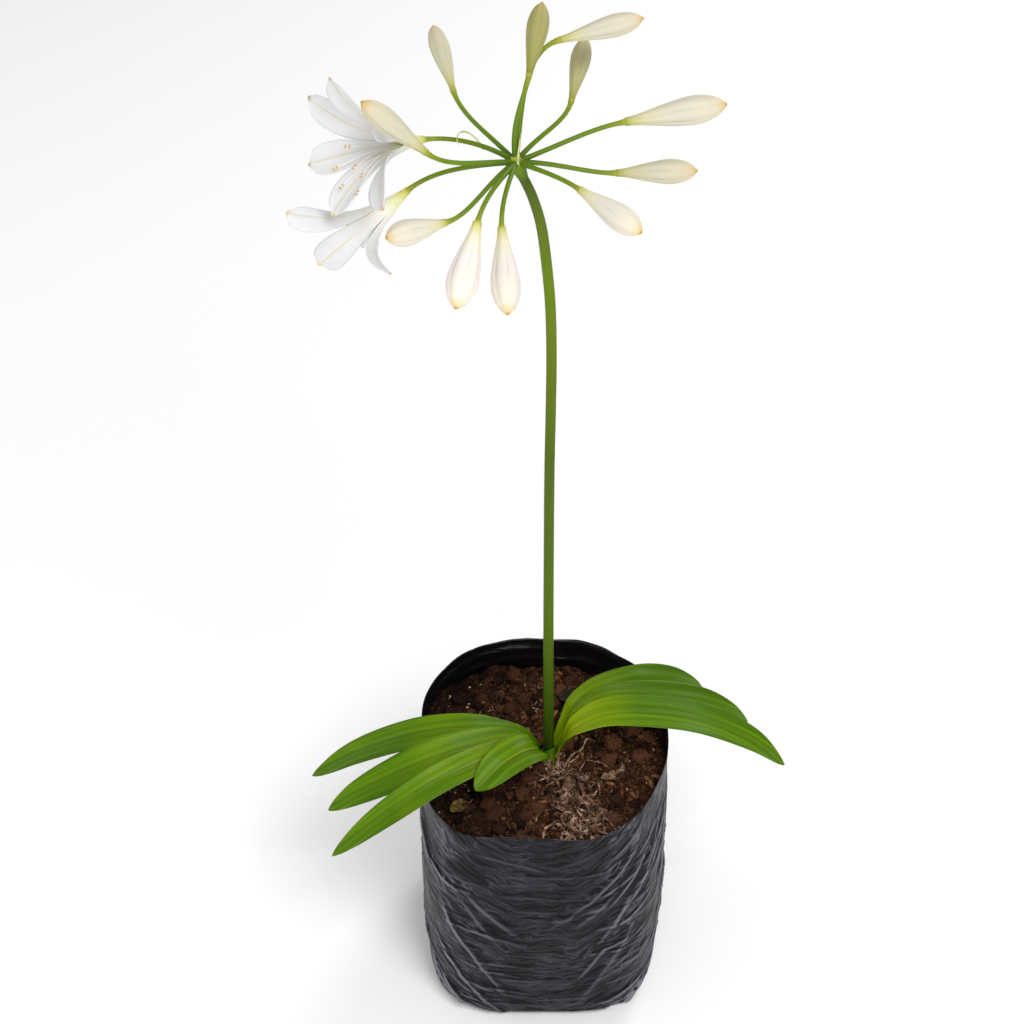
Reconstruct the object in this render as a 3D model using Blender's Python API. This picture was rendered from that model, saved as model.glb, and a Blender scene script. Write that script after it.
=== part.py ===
"""A potted agapanthus: one flowering plant in a black film nursery bag.

Units are metres. MM turns a design value in millimetres into metres.
The origin is the middle of the bag's flat bottom, +Z is up, -Y is the front of the plant.
Azimuths are degrees in plan: 0 is +X, 90 is +Y. Elevations are degrees above level.
"""

import math
import random
from collections import namedtuple

import bmesh
import bpy
from mathutils import Matrix, Vector, noise
from mathutils.bvhtree import BVHTree

MM = 0.001
CLEAR = 0.35 * MM
WELD = 0.01 * MM

# Driving dimensions of the bag, a film tube about 203 mm (8 inches) wide when it lies flat.
BAG_RADIUS = 64.0 * MM
BAG_HEIGHT = 160.0 * MM
BAG_BACK_RISE = 9.0 * MM
BAG_LEFT_DROP = 4.0 * MM
BAG_FILM = 1.0 * MM
BAG_SQUARENESS = (3.5, 3.0)
BAG_DENT = 2.5 * MM
BAG_DENT_AZIMUTH = 52
BAG_DENT_WIDTH = 0.3
BAG_FOLD = 0.6 * MM
# Waves round the bag: the folds of its wall and the ripple of its rim, as (count, share, phase).
WALL_WAVES = ((5, 1.0, 0.6), (9, 0.6, 2.0))
RIM_WAVES = ((7, 0.7, 1.0), (12, 0.5, 0.0))
BAG_SEGMENTS = 40
BAG_PROFILE = ((0.0, 0.89), (1.5, 0.935), (5.0, 0.965), (14.0, 0.985), (40.0, 1.0),
               (75.0, 1.012), (115.0, 1.01), (147.0, 1.0))

# Driving dimensions of the compost and of what grows in it.
SOIL_LEVEL = 148.0 * MM
SOIL_LUMP = 3.0 * MM
SOIL_RINGS = (1.0, 0.9, 0.79, 0.68, 0.57, 0.46, 0.35, 0.24, 0.13)
SOIL_CALM = 22.0 * MM
STEM_FOOT = Vector((2.3, -0.6, 0.0)) * MM
CROWN_TOP = 139.0 * MM
ROOT_COUNT = 7
ROOT_REACH = (30.0, 40.0)
ROOT_DEPTH = (45.0, 85.0)
ROOT_TOP = 12
ROOT_SPACING = 2.2
ROOT_TAPER = ((0, 2.4), (0.3, 2.1), (1, 1.2))
RHIZOME = ((0, 6.2), (4, 8.0), (10, 9.0), (18, 8.6), (26, 6.4), (32, 3.0))
NECK_HEIGHT = 19.0 * MM
NECK_RADIUS = 5.4 * MM
NECK_SIDES = 16
NECK_HOLE = 24.0 * MM
NECK_SHAPE = ((0, 1.0), (0.35, 1.02), (0.65, 0.98), (0.85, 0.86), (1.0, 0.72))
SCAPE_RADIUS = 2.8 * MM
HUB = Vector((-14.9, -12.0, 528.7)) * MM
HUB_RADIUS = 3.2 * MM
HUB_CROWN = 2.6 * MM
HUB_TAPER = ((0.3, 0.8), (0.6, 1.0), (0.85, 0.85), (1.0, 0.4))
PEDICEL_RADIUS = 1.0 * MM
PEDICEL_STEPS = 7
PEDICEL_TAPER = ((0, 1.25), (0.15, 1.0), (0.8, 0.95), (1, 1.25))
# How far each end of a stalk holds its direction, as a share of the stalk's chord.
STALK_PULL = (0.42, 0.3)
SCAPE_STEPS = 26
SCAPE_TAPER = ((0, 1.0), (0.2, 0.93), (0.6, 0.84), (0.9, 0.8), (1, 0.72))
LEAF_THICKNESS = 0.9 * MM
TEPAL_THICKNESS = 0.7 * MM

SCAPE_LINE = ((2.3, -0.6, 177), (1.5, -1.4, 230), (0.9, -2.6, 293), (0.5, -4.2, 352),
              (0.6, -5.6, 394), (0.5, -6.8, 424), (-0.3, -8.0, 452), (-2.1, -9.2, 475),
              (-4.6, -10.2, 496), (-8.2, -11.1, 511), (-12.0, -11.7, 521))

Stalk = namedtuple("Stalk", "azimuth reach rise start_azimuth start_elevation aim_azimuth aim_elevation")
Bud = namedtuple("Bud", "stalk length width")
Flower = namedtuple("Flower", "stalk tepals stamens style")
Leaf = namedtuple("Leaf", "name azimuth base_shift line width roll channel")
Chip = namedtuple("Chip", "name x y length width thickness turn surface")

# Each stalk ends at its azimuth, reach and rise from the hub, and points there at its aim.
BUDS = (
    Bud(Stalk(124, 45.5, 8.8, 124, 8, 106, 20), 33, 8.4),
    Bud(Stalk(60, 10.0, 34.5, 118, 66, 80, 25), 33, 8.6),
    Bud(Stalk(60, 34.6, 36.9, 78, 58, 8, 12), 33.5, 9.0),
    Bud(Stalk(54, 38.0, 8.5, 52, 22, 78, 21), 31, 8.2),
    Bud(Stalk(15, 45.0, 11.0, 18, 12, 4, 9), 40, 11.4),
    Bud(Stalk(-3, 40.0, -3.8, 0, 0, 0, 2), 31.5, 9.8),
    Bud(Stalk(-38, 31.5, 0.4, -38, 6, -46, -5), 33, 10.4),
    Bud(Stalk(-98.5, 37.5, -5.0, -98, 12, -86, -25), 36.5, 11.4),
    Bud(Stalk(-111, 41.5, -1.2, -107, 14, -104, -26), 36.5, 12.2),
    Bud(Stalk(-139, 36.6, -11.8, -137, -6, -150, 5), 26, 9.4),
    Bud(Stalk(198, 36.8, 12.4, 196, 12, 186, 46), 34, 10.6),
)

# Tepals, stamens and style are each a turn round the flower, a reach along it and a spread.
FLOWERS = (
    Flower(Stalk(155, 41.2, -1.3, 155, 20, 220, 18),
           ((-141, 38, 28), (-88, 40, 29), (-26, 39, 30), (65, 40, 20), (122, 43, 27.8),
            (167, 37, 32)),
           ((-158, 34, 5.3), (-78, 34, 7.8), (-54, 34, 11), (-94, 36, 17.4), (-61, 36, 17.5),
            (-120, 36, 14)),
           (-108, 37, 9.5)),
    Flower(Stalk(180, 43.5, -13.9, 182, -4, 192, -39),
           ((-145, 33, 15), (-80, 27, 14), (-35, 25, 23), (32, 40, 26), (95, 41, 27), (140, 36, 17)),
           ((30, 28, 4.5), (90, 29, 4), (150, 28, 4.5), (210, 30, 4), (270, 28, 4.5), (330, 30, 4)),
           (40, 32, 2)),
)

# A leaf's line is its (reach from the stem, height) at the midrib. Its base is turned
# round the neck by base_shift degrees, which fades out within the first centimetres.
LEAVES = (
    Leaf("leaf_left_1", 177, -58, ((5.9, 150), (12, 159), (17, 163), (25, 165.5), (43, 167.5), (69, 162),
                                   (100, 145), (125, 124.5)), 17.5, -16, 1.4),
    Leaf("leaf_left_2", 195, -14, ((5.9, 151.5), (11.3, 161), (16, 165), (24, 167.7), (44, 168.5),
                                   (65, 165), (82, 159), (101, 151), (117, 142)), 20, -16, 1.4),
    Leaf("leaf_left_3", 208, 18, ((5.8, 153), (10.5, 163), (15, 166.7), (24, 169.3), (46, 168.7),
                                  (69, 165), (94, 155.5), (112, 147), (124, 140.5)), 16, -14, 1.2),
    Leaf("leaf_left_4", 224, 44, ((5.5, 155), (9.5, 164.5), (13, 168.8), (21, 172.3), (33, 172.6),
                                  (43, 169.6), (52, 165.5)), 20, -10, 1.2),
    Leaf("leaf_right_1", 25, 62, ((6.3, 149.5), (12.8, 163.5), (18, 174), (31, 182), (53, 181.5),
                                  (72, 173.5), (86, 163), (92, 156)), 20, 14, 1.4),
    Leaf("leaf_right_2", 9, 0, ((5.8, 151.5), (11, 166.5), (16, 176), (30, 185.5), (53, 184.5),
                                (79, 177.5), (96, 167), (106, 157)), 19, 14, 1.4),
    Leaf("leaf_right_3", -6, -46, ((5.6, 153.5), (9.4, 168), (14, 177.5), (29, 188), (52, 190.5),
                                   (78, 187.5), (104, 174.5), (122, 157)), 18.5, 14, 1.4),
)
NECK_FADE = 10 * MM
LEAF_SHAPE = ((0, 0.13), (0.07, 0.25), (0.15, 0.54), (0.26, 0.85), (0.42, 1.0), (0.6, 0.98),
              (0.75, 0.86), (0.87, 0.64), (0.95, 0.38), (1, 0.0))
LEAF_STEPS = 13

# The places across a leaf or a tepal that carry its curve, from edge to edge.
ACROSS = (-1.0, -0.5, 0.0, 0.5, 1.0)

# A closed bud: its share of the half width along its length.
BUD_SHAPE = ((0, 0.27), (0.18, 0.38), (0.4, 0.68), (0.56, 0.93), (0.7, 1.0), (0.83, 0.88),
             (0.94, 0.52), (1, 0.12))
BUD_RIDGE = 0.05

# Flat pieces that lie on the compost.
CHIPS = (
    Chip("bark_chip_1", 16, 40, 15, 10, 1.6, 20, ("dark_bark", (0.06, 0.04, 0.03), 0.9)),
    Chip("bark_chip_2", 37, -15, 15, 6, 1.2, 40, ("tan_bark", (0.3, 0.2, 0.13), 0.9)),
    Chip("leaf_scrap", -44, -34, 11, 8, 0.9, 60, ("dead_leaf", (0.2, 0.14, 0.05), 0.8)),
)
CHIP_SIDES = 7
CHIP_RAGGED = (0.8, 1.0)
CHIP_BEVEL = 0.92
TANGLE_MIDDLE = Vector((13.0, -30.0, 0.0)) * MM
TANGLE_STRANDS = 6
TANGLE_RADIUS = 0.8 * MM
TANGLE_REACH = (13, 24)
TANGLE_LIFT = 1.6 * MM
TANGLE_KNOT = ((-4, 0.9), (-2, 1.9), (2, 1.9), (4, 0.9))
KNOT_LIFT = 2.3 * MM

# An open flower: the bell of its tube, then the bend and the half widths of a tepal.
TUBE_PROFILE = ((0, 1.3), (4, 1.9), (8, 2.7), (12, 3.9))
TEPAL_BEND = (31, 7.5)
TEPAL_SHAPE = ((0.17, 2.6), (0.34, 3.8), (0.5, 4.8), (0.66, 5.5), (0.81, 5.3), (0.93, 3.9), (1.0, 0.0))
TEPAL_CURL = 0.16
TEPAL_ROOM = 0.94

# The stamens: an ovary at their foot, thin filaments and an anther on the end of each.
OVARY = ((0, 0.35), (1.5, 0.75), (4, 0.9), (6.5, 0.6))
FILAMENT_RADIUS = 0.4 * MM
ANTHER = ((-0.7, 0.35), (0.5, 0.75), (1.7, 0.35))


def clear_scene():
    """Remove every object that the file opens with."""
    for obj in list(bpy.data.objects):
        bpy.data.objects.remove(obj, do_unlink=True)


def surface(name, colour, roughness):
    """A plain Principled material from a linear RGB colour."""
    material = bpy.data.materials.new(name)
    material.use_nodes = True
    shader = material.node_tree.nodes["Principled BSDF"]
    shader.inputs["Base Color"].default_value = (*colour, 1.0)
    shader.inputs["Roughness"].default_value = roughness
    shader.inputs["Metallic"].default_value = 0.0
    return material


def place(name, mesh, material):
    """Put a mesh in the scene as a named object with its material."""
    mesh.name = name
    mesh.materials.clear()
    mesh.materials.append(material)
    mesh.shade_smooth()
    mesh.set_sharp_from_angle(angle=math.radians(40))
    obj = bpy.data.objects.new(name, mesh)
    bpy.context.scene.collection.objects.link(obj)
    return obj


def mesh_from(bm):
    """Turn a finished bmesh into a mesh whose faces point outwards."""
    bmesh.ops.recalc_face_normals(bm, faces=bm.faces)
    mesh = bpy.data.meshes.new("shape")
    bm.to_mesh(mesh)
    bm.free()
    return mesh


def direction(azimuth, elevation):
    """The unit vector of an azimuth and an elevation in degrees."""
    turn = math.radians(azimuth)
    lift = math.radians(elevation)
    return Vector((math.cos(lift) * math.cos(turn), math.cos(lift) * math.sin(turn), math.sin(lift)))


def smooth_line(points, steps):
    """Points read evenly from a Catmull-Rom curve through the given ones."""
    points = [Vector(point) for point in points]
    ends = [2 * points[0] - points[1]] + points + [2 * points[-1] - points[-2]]
    dense = []
    for a, b, c, d in zip(ends, ends[1:], ends[2:], ends[3:]):
        for k in range(12):
            t = k / 12
            dense.append(0.5 * (2 * b + (c - a) * t + (2 * a - 5 * b + 4 * c - d) * t * t
                                + (3 * b - 3 * c + d - a) * t * t * t))
    dense.append(points[-1])
    lengths = [0.0]
    for a, b in zip(dense, dense[1:]):
        lengths.append(lengths[-1] + (b - a).length)
    line = []
    index = 0
    for k in range(steps + 1):
        goal = lengths[-1] * k / steps
        while index < len(dense) - 2 and lengths[index + 1] < goal:
            index += 1
        span = lengths[index + 1] - lengths[index]
        line.append(dense[index].lerp(dense[index + 1], (goal - lengths[index]) / span))
    return line


def bezier_line(start, start_way, end, end_way, steps):
    """A curve that leaves start along start_way and arrives at end along end_way."""
    chord = (end - start).length
    first = start + start_way * chord * STALK_PULL[0]
    last = end - end_way * chord * STALK_PULL[1]
    line = []
    for k in range(steps + 1):
        t = k / steps
        line.append(start * (1 - t) ** 3 + first * 3 * t * (1 - t) ** 2
                    + last * 3 * t * t * (1 - t) + end * t ** 3)
    return line


def tangents(line):
    """The unit direction of a line at each of its points."""
    ways = []
    for k in range(len(line)):
        ways.append((line[min(k + 1, len(line) - 1)] - line[max(k - 1, 0)]).normalized())
    return ways


def loft(bm, rings):
    """Join rings of points into one closed body, with a flat face at each end."""
    made = [[bm.verts.new(point) for point in ring] for ring in rings]
    for lower, upper in zip(made, made[1:]):
        for k in range(len(lower)):
            after = (k + 1) % len(lower)
            bm.faces.new((lower[k], lower[after], upper[after], upper[k]))
    bm.faces.new(list(reversed(made[0])))
    bm.faces.new(made[-1])


def tube_rings(line, radii, sides, ridge=0.0, end_way=None):
    """Rings of points round a line, untwisted along it; ridge raises six ribs."""
    ways = tangents(line)
    if end_way is not None:
        ways[-1] = end_way
    across = ways[0].orthogonal().normalized()
    rings = []
    for point, way, radius in zip(line, ways, radii):
        across = (across - way * across.dot(way)).normalized()
        other = way.cross(across)
        ring = []
        for k in range(sides):
            turn = 2 * math.pi * k / sides
            r = radius * (1 + ridge * math.cos(6 * turn))
            ring.append(point + across * r * math.cos(turn) + other * r * math.sin(turn))
        rings.append(ring)
    return rings


def tube_mesh(line, radii, sides, **shape):
    """A closed tube along a line, with a radius for each of its points."""
    bm = bmesh.new()
    loft(bm, tube_rings(line, radii, sides, **shape))
    return mesh_from(bm)


def blend(values, t):
    """Read a list of (place, value) pairs at t, straight between the pairs."""
    for (a, low), (b, high) in zip(values, values[1:]):
        if t <= b:
            return low + (high - low) * max(t - a, 0.0) / (b - a)
    return values[-1][1]


def boolean(obj, operation, pieces, solver="EXACT"):
    """Join pieces to an object, or cut them from it, and remove the pieces."""
    group = bpy.data.collections.new("pieces")
    bpy.context.scene.collection.children.link(group)
    for piece in pieces:
        bpy.context.scene.collection.objects.unlink(piece)
        group.objects.link(piece)
    modifier = obj.modifiers.new("joined", "BOOLEAN")
    modifier.operation = operation
    modifier.operand_type = "COLLECTION"
    modifier.collection = group
    modifier.solver = solver
    seen = obj.evaluated_get(bpy.context.evaluated_depsgraph_get())
    result = bpy.data.meshes.new_from_object(seen)
    obj.modifiers.clear()
    obj.data = result
    for piece in pieces:
        bpy.data.objects.remove(piece, do_unlink=True)
    bpy.data.collections.remove(group)
    bm = bmesh.new()
    bm.from_mesh(result)
    bmesh.ops.remove_doubles(bm, verts=bm.verts, dist=WELD)
    bm.to_mesh(result)
    bm.free()
    return obj


def fuse(name, meshes, material, solver="EXACT"):
    """Grow overlapping meshes together as one named body."""
    whole = place(name, meshes[0], material)
    others = [place(name + "_piece", mesh, material) for mesh in meshes[1:]]
    return boolean(whole, "UNION", others, solver)


def waves(angle, parts):
    """The sum of waves round the bag, each a (count, share, phase)."""
    return sum(share * math.sin(count * angle + phase) for count, share, phase in parts)


def bag_radius(angle, height):
    """The bag's outer radius in one direction at one height.

    The plan is a rounded square, squarer at the bottom, with broad soft folds and one
    dent at the back right.
    """
    share = min(height / BAG_HEIGHT, 1.0)
    power = BAG_SQUARENESS[0] + (BAG_SQUARENESS[1] - BAG_SQUARENESS[0]) * share
    square = (abs(math.cos(angle)) ** power + abs(math.sin(angle)) ** power) ** (-1 / power)
    profile = blend([(z * MM, factor) for z, factor in BAG_PROFILE], height)
    fold = waves(angle, WALL_WAVES)
    dent = math.exp(-((angle - math.radians(BAG_DENT_AZIMUTH)) / BAG_DENT_WIDTH) ** 2)
    return BAG_RADIUS * profile * square + (BAG_FOLD * fold - BAG_DENT * dent) * share


def bag_rim(angle):
    """The height of the rim, raised at the back and lower under the left leaves."""
    back = max(math.sin(angle), 0.0) ** 2
    left = max(-math.cos(angle), 0.0) ** 4
    return BAG_HEIGHT + BAG_BACK_RISE * back - BAG_LEFT_DROP * left + waves(angle, RIM_WAVES) * MM


def ring_at(radius, height):
    """A ring of points whose radius and height are functions of the angle."""
    ring = []
    for k in range(BAG_SEGMENTS):
        angle = 2 * math.pi * k / BAG_SEGMENTS
        r = radius(angle)
        ring.append(Vector((r * math.cos(angle), r * math.sin(angle), height(angle))))
    return ring


def wall_ring(z, inset=0.0, lift=0.0):
    """A ring on the bag's wall at height z, moved in by inset and up by lift."""
    return ring_at(lambda a: bag_radius(a, z) - inset, lambda a: z + lift)


def build_bag():
    """The nursery bag: a film wall and bottom, open at the top with a plain cut rim."""
    heights = [z * MM for z, factor in BAG_PROFILE]
    outside = [wall_ring(z) for z in heights]
    rim = ring_at(lambda a: bag_radius(a, BAG_HEIGHT), bag_rim)
    lip = ring_at(lambda a: bag_radius(a, BAG_HEIGHT) - BAG_FILM, bag_rim)
    inside = [wall_ring(z, BAG_FILM) for z in reversed(heights[3:])]
    floor = [wall_ring(heights[2], BAG_FILM), wall_ring(heights[1], BAG_FILM, 0.6 * MM)]
    bm = bmesh.new()
    loft(bm, outside + [rim, lip] + inside + floor)
    film = surface("black_polythene_film", (0.03, 0.03, 0.036), 0.42)
    return place("grow_bag", mesh_from(bm), film)


def soil_height(x, y):
    """The lumpy top of the compost."""
    coarse = noise.noise(Vector((x, y, 0.0)) * 55)
    fine = noise.noise(Vector((x, y, 0.4)) * 140)
    away = min((Vector((x, y, 0.0)) - STEM_FOOT).length / SOIL_CALM, 1.0)
    return SOIL_LEVEL + away * SOIL_LUMP * (coarse + 0.7 * fine)


def build_compost(roots):
    """The compost that fills the bag, with a plain hole where the rootstock stands."""
    inset = BAG_FILM + CLEAR
    heights = [z * MM for z, factor in BAG_PROFILE]
    rings = [wall_ring(heights[1], inset + 2 * MM, 0.6 * MM + CLEAR), wall_ring(heights[2], inset)]
    rings += [wall_ring(z, inset) for z in heights[3:-1]]
    for share in SOIL_RINGS:
        ring = ring_at(lambda a: (bag_radius(a, SOIL_LEVEL) - inset) * share, lambda a: 0.0)
        for point in ring:
            point.z = soil_height(point.x, point.y)
        rings.append(ring)
    bm = bmesh.new()
    loft(bm, rings)
    peat = surface("peat_and_bark_compost", (0.05, 0.025, 0.013), 0.95)
    compost = place("potting_compost", mesh_from(bm), peat)
    cutters = [place("hole", mesh, peat) for mesh in roots]
    return boolean(compost, "DIFFERENCE", cutters)


def root_meshes(grow):
    """The rootstock's overlapping parts: a short rhizome and its fleshy roots."""
    top = STEM_FOOT + Vector((0, 0, CROWN_TOP + grow))
    rhizome = [top - Vector((0, 0, depth * MM)) for depth, radius in RHIZOME]
    rhizome[-1].z -= 2 * grow
    girth = [radius * MM + grow for depth, radius in RHIZOME]
    meshes = [tube_mesh(rhizome, girth, 12)]
    draw = random.Random(5)
    for k in range(ROOT_COUNT):
        azimuth = 360 * k / ROOT_COUNT + draw.uniform(-14, 14)
        start = STEM_FOOT + Vector((0, 0, CROWN_TOP - (ROOT_TOP + ROOT_SPACING * k) * MM))
        out = direction(azimuth, 0)
        reach = draw.uniform(*ROOT_REACH) * MM
        depth = draw.uniform(*ROOT_DEPTH) * MM
        line = [start + out * 3 * MM,
                start + out * 14 * MM - Vector((0, 0, 5 * MM)),
                start + out * reach * 0.75 - Vector((0, 0, depth * 0.45)),
                start + out * reach - Vector((0, 0, depth))]
        line = smooth_line(line, 6)
        line[-1] -= Vector((0, 0, 2 * grow))
        radii = [blend(ROOT_TAPER, i / 6) * MM + grow for i in range(7)]
        meshes.append(tube_mesh(line, radii, 6))
    return meshes


def neck_hole():
    """The plain hole above the rhizome for the green neck of the plant."""
    base = STEM_FOOT + Vector((0, 0, CROWN_TOP - 2 * MM))
    line = [base, base + Vector((0, 0, NECK_HOLE))]
    widest = max(share for t, share in NECK_SHAPE)
    return tube_mesh(line, [NECK_RADIUS * widest + CLEAR] * 2, NECK_SIDES)


def build_neck():
    """The short neck of clasping leaf bases, open down its middle for the flower stem."""
    base = STEM_FOOT + Vector((0, 0, CROWN_TOP + CLEAR))
    line = [base + Vector((0, 0, NECK_HEIGHT * t)) for t, share in NECK_SHAPE]
    outside = tube_rings(line, [NECK_RADIUS * share for t, share in NECK_SHAPE], NECK_SIDES)
    bore = tube_rings([line[0], line[-1]], [SCAPE_RADIUS + CLEAR] * 2, NECK_SIDES)
    bm = bmesh.new()
    made = [[bm.verts.new(point) for point in ring] for ring in outside + [bore[1], bore[0]]]
    for lower, upper in zip(made, made[1:] + made[:1]):
        for k in range(NECK_SIDES):
            after = (k + 1) % NECK_SIDES
            bm.faces.new((lower[k], lower[after], upper[after], upper[k]))
    sheath = surface("pale_green_sheath", (0.16, 0.3, 0.05), 0.45)
    return place("leaf_sheath_neck", mesh_from(bm), sheath)


def build_leaf(leaf, material):
    """A strap leaf: a shallow channel of even thickness along an arched midrib."""
    line = []
    for reach, height in leaf.line:
        azimuth = leaf.azimuth + leaf.base_shift * math.exp(-reach * MM / NECK_FADE)
        point = direction(azimuth, 0) * reach * MM + STEM_FOOT
        line.append(Vector((point.x, point.y, height * MM)))
    line = smooth_line(line, LEAF_STEPS)
    ways = tangents(line)
    bm = bmesh.new()
    rows = []
    for k, (point, way) in enumerate(zip(line, ways)):
        t = k / LEAF_STEPS
        width = blend(LEAF_SHAPE, t)
        turn = Matrix.Rotation(math.radians(leaf.roll) * min(t / 0.25, 1.0), 3, way)
        across = turn @ Vector((0, 0, 1)).cross(way).normalized()
        up = way.cross(across).normalized()
        if k == LEAF_STEPS:
            rows.append([bm.verts.new(point)] * len(ACROSS))
            continue
        half = width * leaf.width / 2 * MM
        cup = width * leaf.channel * MM
        rows.append([bm.verts.new(point + across * half * c + up * cup * c * c) for c in ACROSS])
    for low, high in zip(rows, rows[1:]):
        for k in range(len(ACROSS) - 1):
            if high[0] is high[1]:
                bm.faces.new((low[k + 1], low[k], high[0]))
            else:
                bm.faces.new((low[k + 1], low[k], high[k], high[k + 1]))
    bmesh.ops.triangulate(bm, faces=bm.faces)
    mesh = bpy.data.meshes.new(leaf.name)
    bm.to_mesh(mesh)
    bm.free()
    obj = place(leaf.name, mesh, material)
    thick = obj.modifiers.new("thickness", "SOLIDIFY")
    thick.thickness = LEAF_THICKNESS
    thick.offset = -1.0
    return obj


def build_scape():
    """The flower stem, from the rootstock through the neck up to the umbel's hub."""
    foot = STEM_FOOT + Vector((0, 0, CROWN_TOP + CLEAR))
    line = [foot] + [Vector(point) * MM for point in SCAPE_LINE]
    line = smooth_line(line, SCAPE_STEPS)
    radii = [blend(SCAPE_TAPER, k / SCAPE_STEPS) * SCAPE_RADIUS for k in range(SCAPE_STEPS + 1)]
    mesh = tube_mesh(line, radii, 10)
    scape = place("flower_scape", mesh, surface("scape_green", (0.1, 0.23, 0.03), 0.4))
    return scape, line[-1], tangents(line)[-1], radii[-1]


def stalk_line(stalk):
    """The line of one pedicel, and the way that its end points."""
    end = HUB + direction(stalk.azimuth, 0) * stalk.reach * MM + Vector((0, 0, stalk.rise * MM))
    aim = direction(stalk.aim_azimuth, stalk.aim_elevation)
    start = direction(stalk.start_azimuth, stalk.start_elevation)
    return bezier_line(HUB, start, end, aim, PEDICEL_STEPS), aim


def build_umbel(scape_end, scape_way, scape_radius):
    """The hub on top of the scape and all the pedicels that grow out of it."""
    hub_line = [scape_end + scape_way * CLEAR]
    rest = HUB + scape_way * HUB_CROWN
    hub_line += [hub_line[0].lerp(rest, t) for t, share in HUB_TAPER]
    girth = [scape_radius * 1.05] + [HUB_RADIUS * share for t, share in HUB_TAPER]
    meshes = [tube_mesh(hub_line, girth, 10)]
    for stalk in [part.stalk for part in BUDS + FLOWERS]:
        line, aim = stalk_line(stalk)
        radii = [blend(PEDICEL_TAPER, k / PEDICEL_STEPS) * PEDICEL_RADIUS for k in range(PEDICEL_STEPS + 1)]
        meshes.append(tube_mesh(line, radii, 5, end_way=aim))
    return fuse("umbel_stalks", meshes, surface("pedicel_green", (0.2, 0.34, 0.05), 0.42))


def build_bud(name, bud, material):
    """A closed bud of six tepals: ridged, narrow at its foot and blunt at its tip."""
    line, aim = stalk_line(bud.stalk)
    foot = line[-1] + aim * CLEAR
    centre = [foot + aim * bud.length * MM * t for t, share in BUD_SHAPE]
    radii = [bud.width / 2 * MM * share for t, share in BUD_SHAPE]
    return place(name, tube_mesh(centre, radii, 12, ridge=BUD_RIDGE), material)


def flower_frame(flower):
    """The foot of a flower and the axes of its ring: up and aside as its front is faced."""
    line, aim = stalk_line(flower.stalk)
    aside = Vector((0, 0, 1)).cross(aim).normalized()
    return line[-1] + aim * CLEAR, aim, aside, aim.cross(aside)


def tepal_point(foot, aim, spot, edge, reach, spread, t, offset):
    """A point of a tepal at t along its curve and offset to one side of its midrib."""
    start = TUBE_PROFILE[-1]
    s, r = ((a * (1 - t) ** 2 + b * 2 * t * (1 - t) + c * t * t) * MM
            for a, b, c in zip(start, TEPAL_BEND, (reach, spread)))
    curl = abs(offset) * TEPAL_CURL
    return foot + aim * (s + curl) + spot * (r - curl) + edge * offset


def build_flower(name, flower, material):
    """An open flower: six tepals that part from a short tube and curve outwards."""
    foot, aim, aside, up = flower_frame(flower)
    turns = [math.radians(tepal[0]) for tepal in flower.tepals]
    bm = bmesh.new()
    for k, (turn, reach, spread) in enumerate(flower.tepals):
        middle = turns[k]
        before = turns[k - 1] - (2 * math.pi if k == 0 else 0)
        after = turns[(k + 1) % 6] + (2 * math.pi if k == 5 else 0)
        seams = ((before + middle) / 2, (middle + after) / 2)
        rows = []
        for along, radius in TUBE_PROFILE:
            row = []
            for share in ACROSS:
                seam = seams[0] if share < 0 else seams[1]
                angle = middle + (seam - middle) * abs(share)
                spot = aside * math.cos(angle) + up * math.sin(angle)
                row.append(bm.verts.new(foot + (aim * along + spot * radius) * MM))
            rows.append(row)
        spot = aside * math.cos(middle) + up * math.sin(middle)
        edge = aim.cross(spot)
        for t, half in TEPAL_SHAPE[:-1]:
            radius = (tepal_point(foot, aim, spot, edge, reach, spread, t, 0) - foot).dot(spot)
            row = []
            for share in ACROSS:
                room = abs(seams[0 if share < 0 else 1] - middle) * TEPAL_ROOM * radius
                offset = share * min(half * MM, room)
                row.append(bm.verts.new(tepal_point(foot, aim, spot, edge, reach, spread, t, offset)))
            rows.append(row)
        for low, high in zip(rows, rows[1:]):
            for c in range(4):
                bm.faces.new((low[c], low[c + 1], high[c + 1], high[c]))
        tip = bm.verts.new(tepal_point(foot, aim, spot, edge, reach, spread, 1.0, 0))
        for c in range(4):
            bm.faces.new((rows[-1][c], rows[-1][c + 1], tip))
    bmesh.ops.remove_doubles(bm, verts=bm.verts, dist=0.02 * MM)
    rim = [side for side in bm.edges if side.is_boundary
           and all((vert.co - foot).length < 2 * MM for vert in side.verts)]
    bmesh.ops.holes_fill(bm, edges=rim)
    bmesh.ops.triangulate(bm, faces=bm.faces)
    bmesh.ops.recalc_face_normals(bm, faces=bm.faces)
    mesh = bpy.data.meshes.new(name)
    bm.to_mesh(mesh)
    bm.free()
    obj = place(name, mesh, material)
    thick = obj.modifiers.new("thickness", "SOLIDIFY")
    thick.thickness = TEPAL_THICKNESS
    thick.offset = 0.0
    return obj


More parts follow.
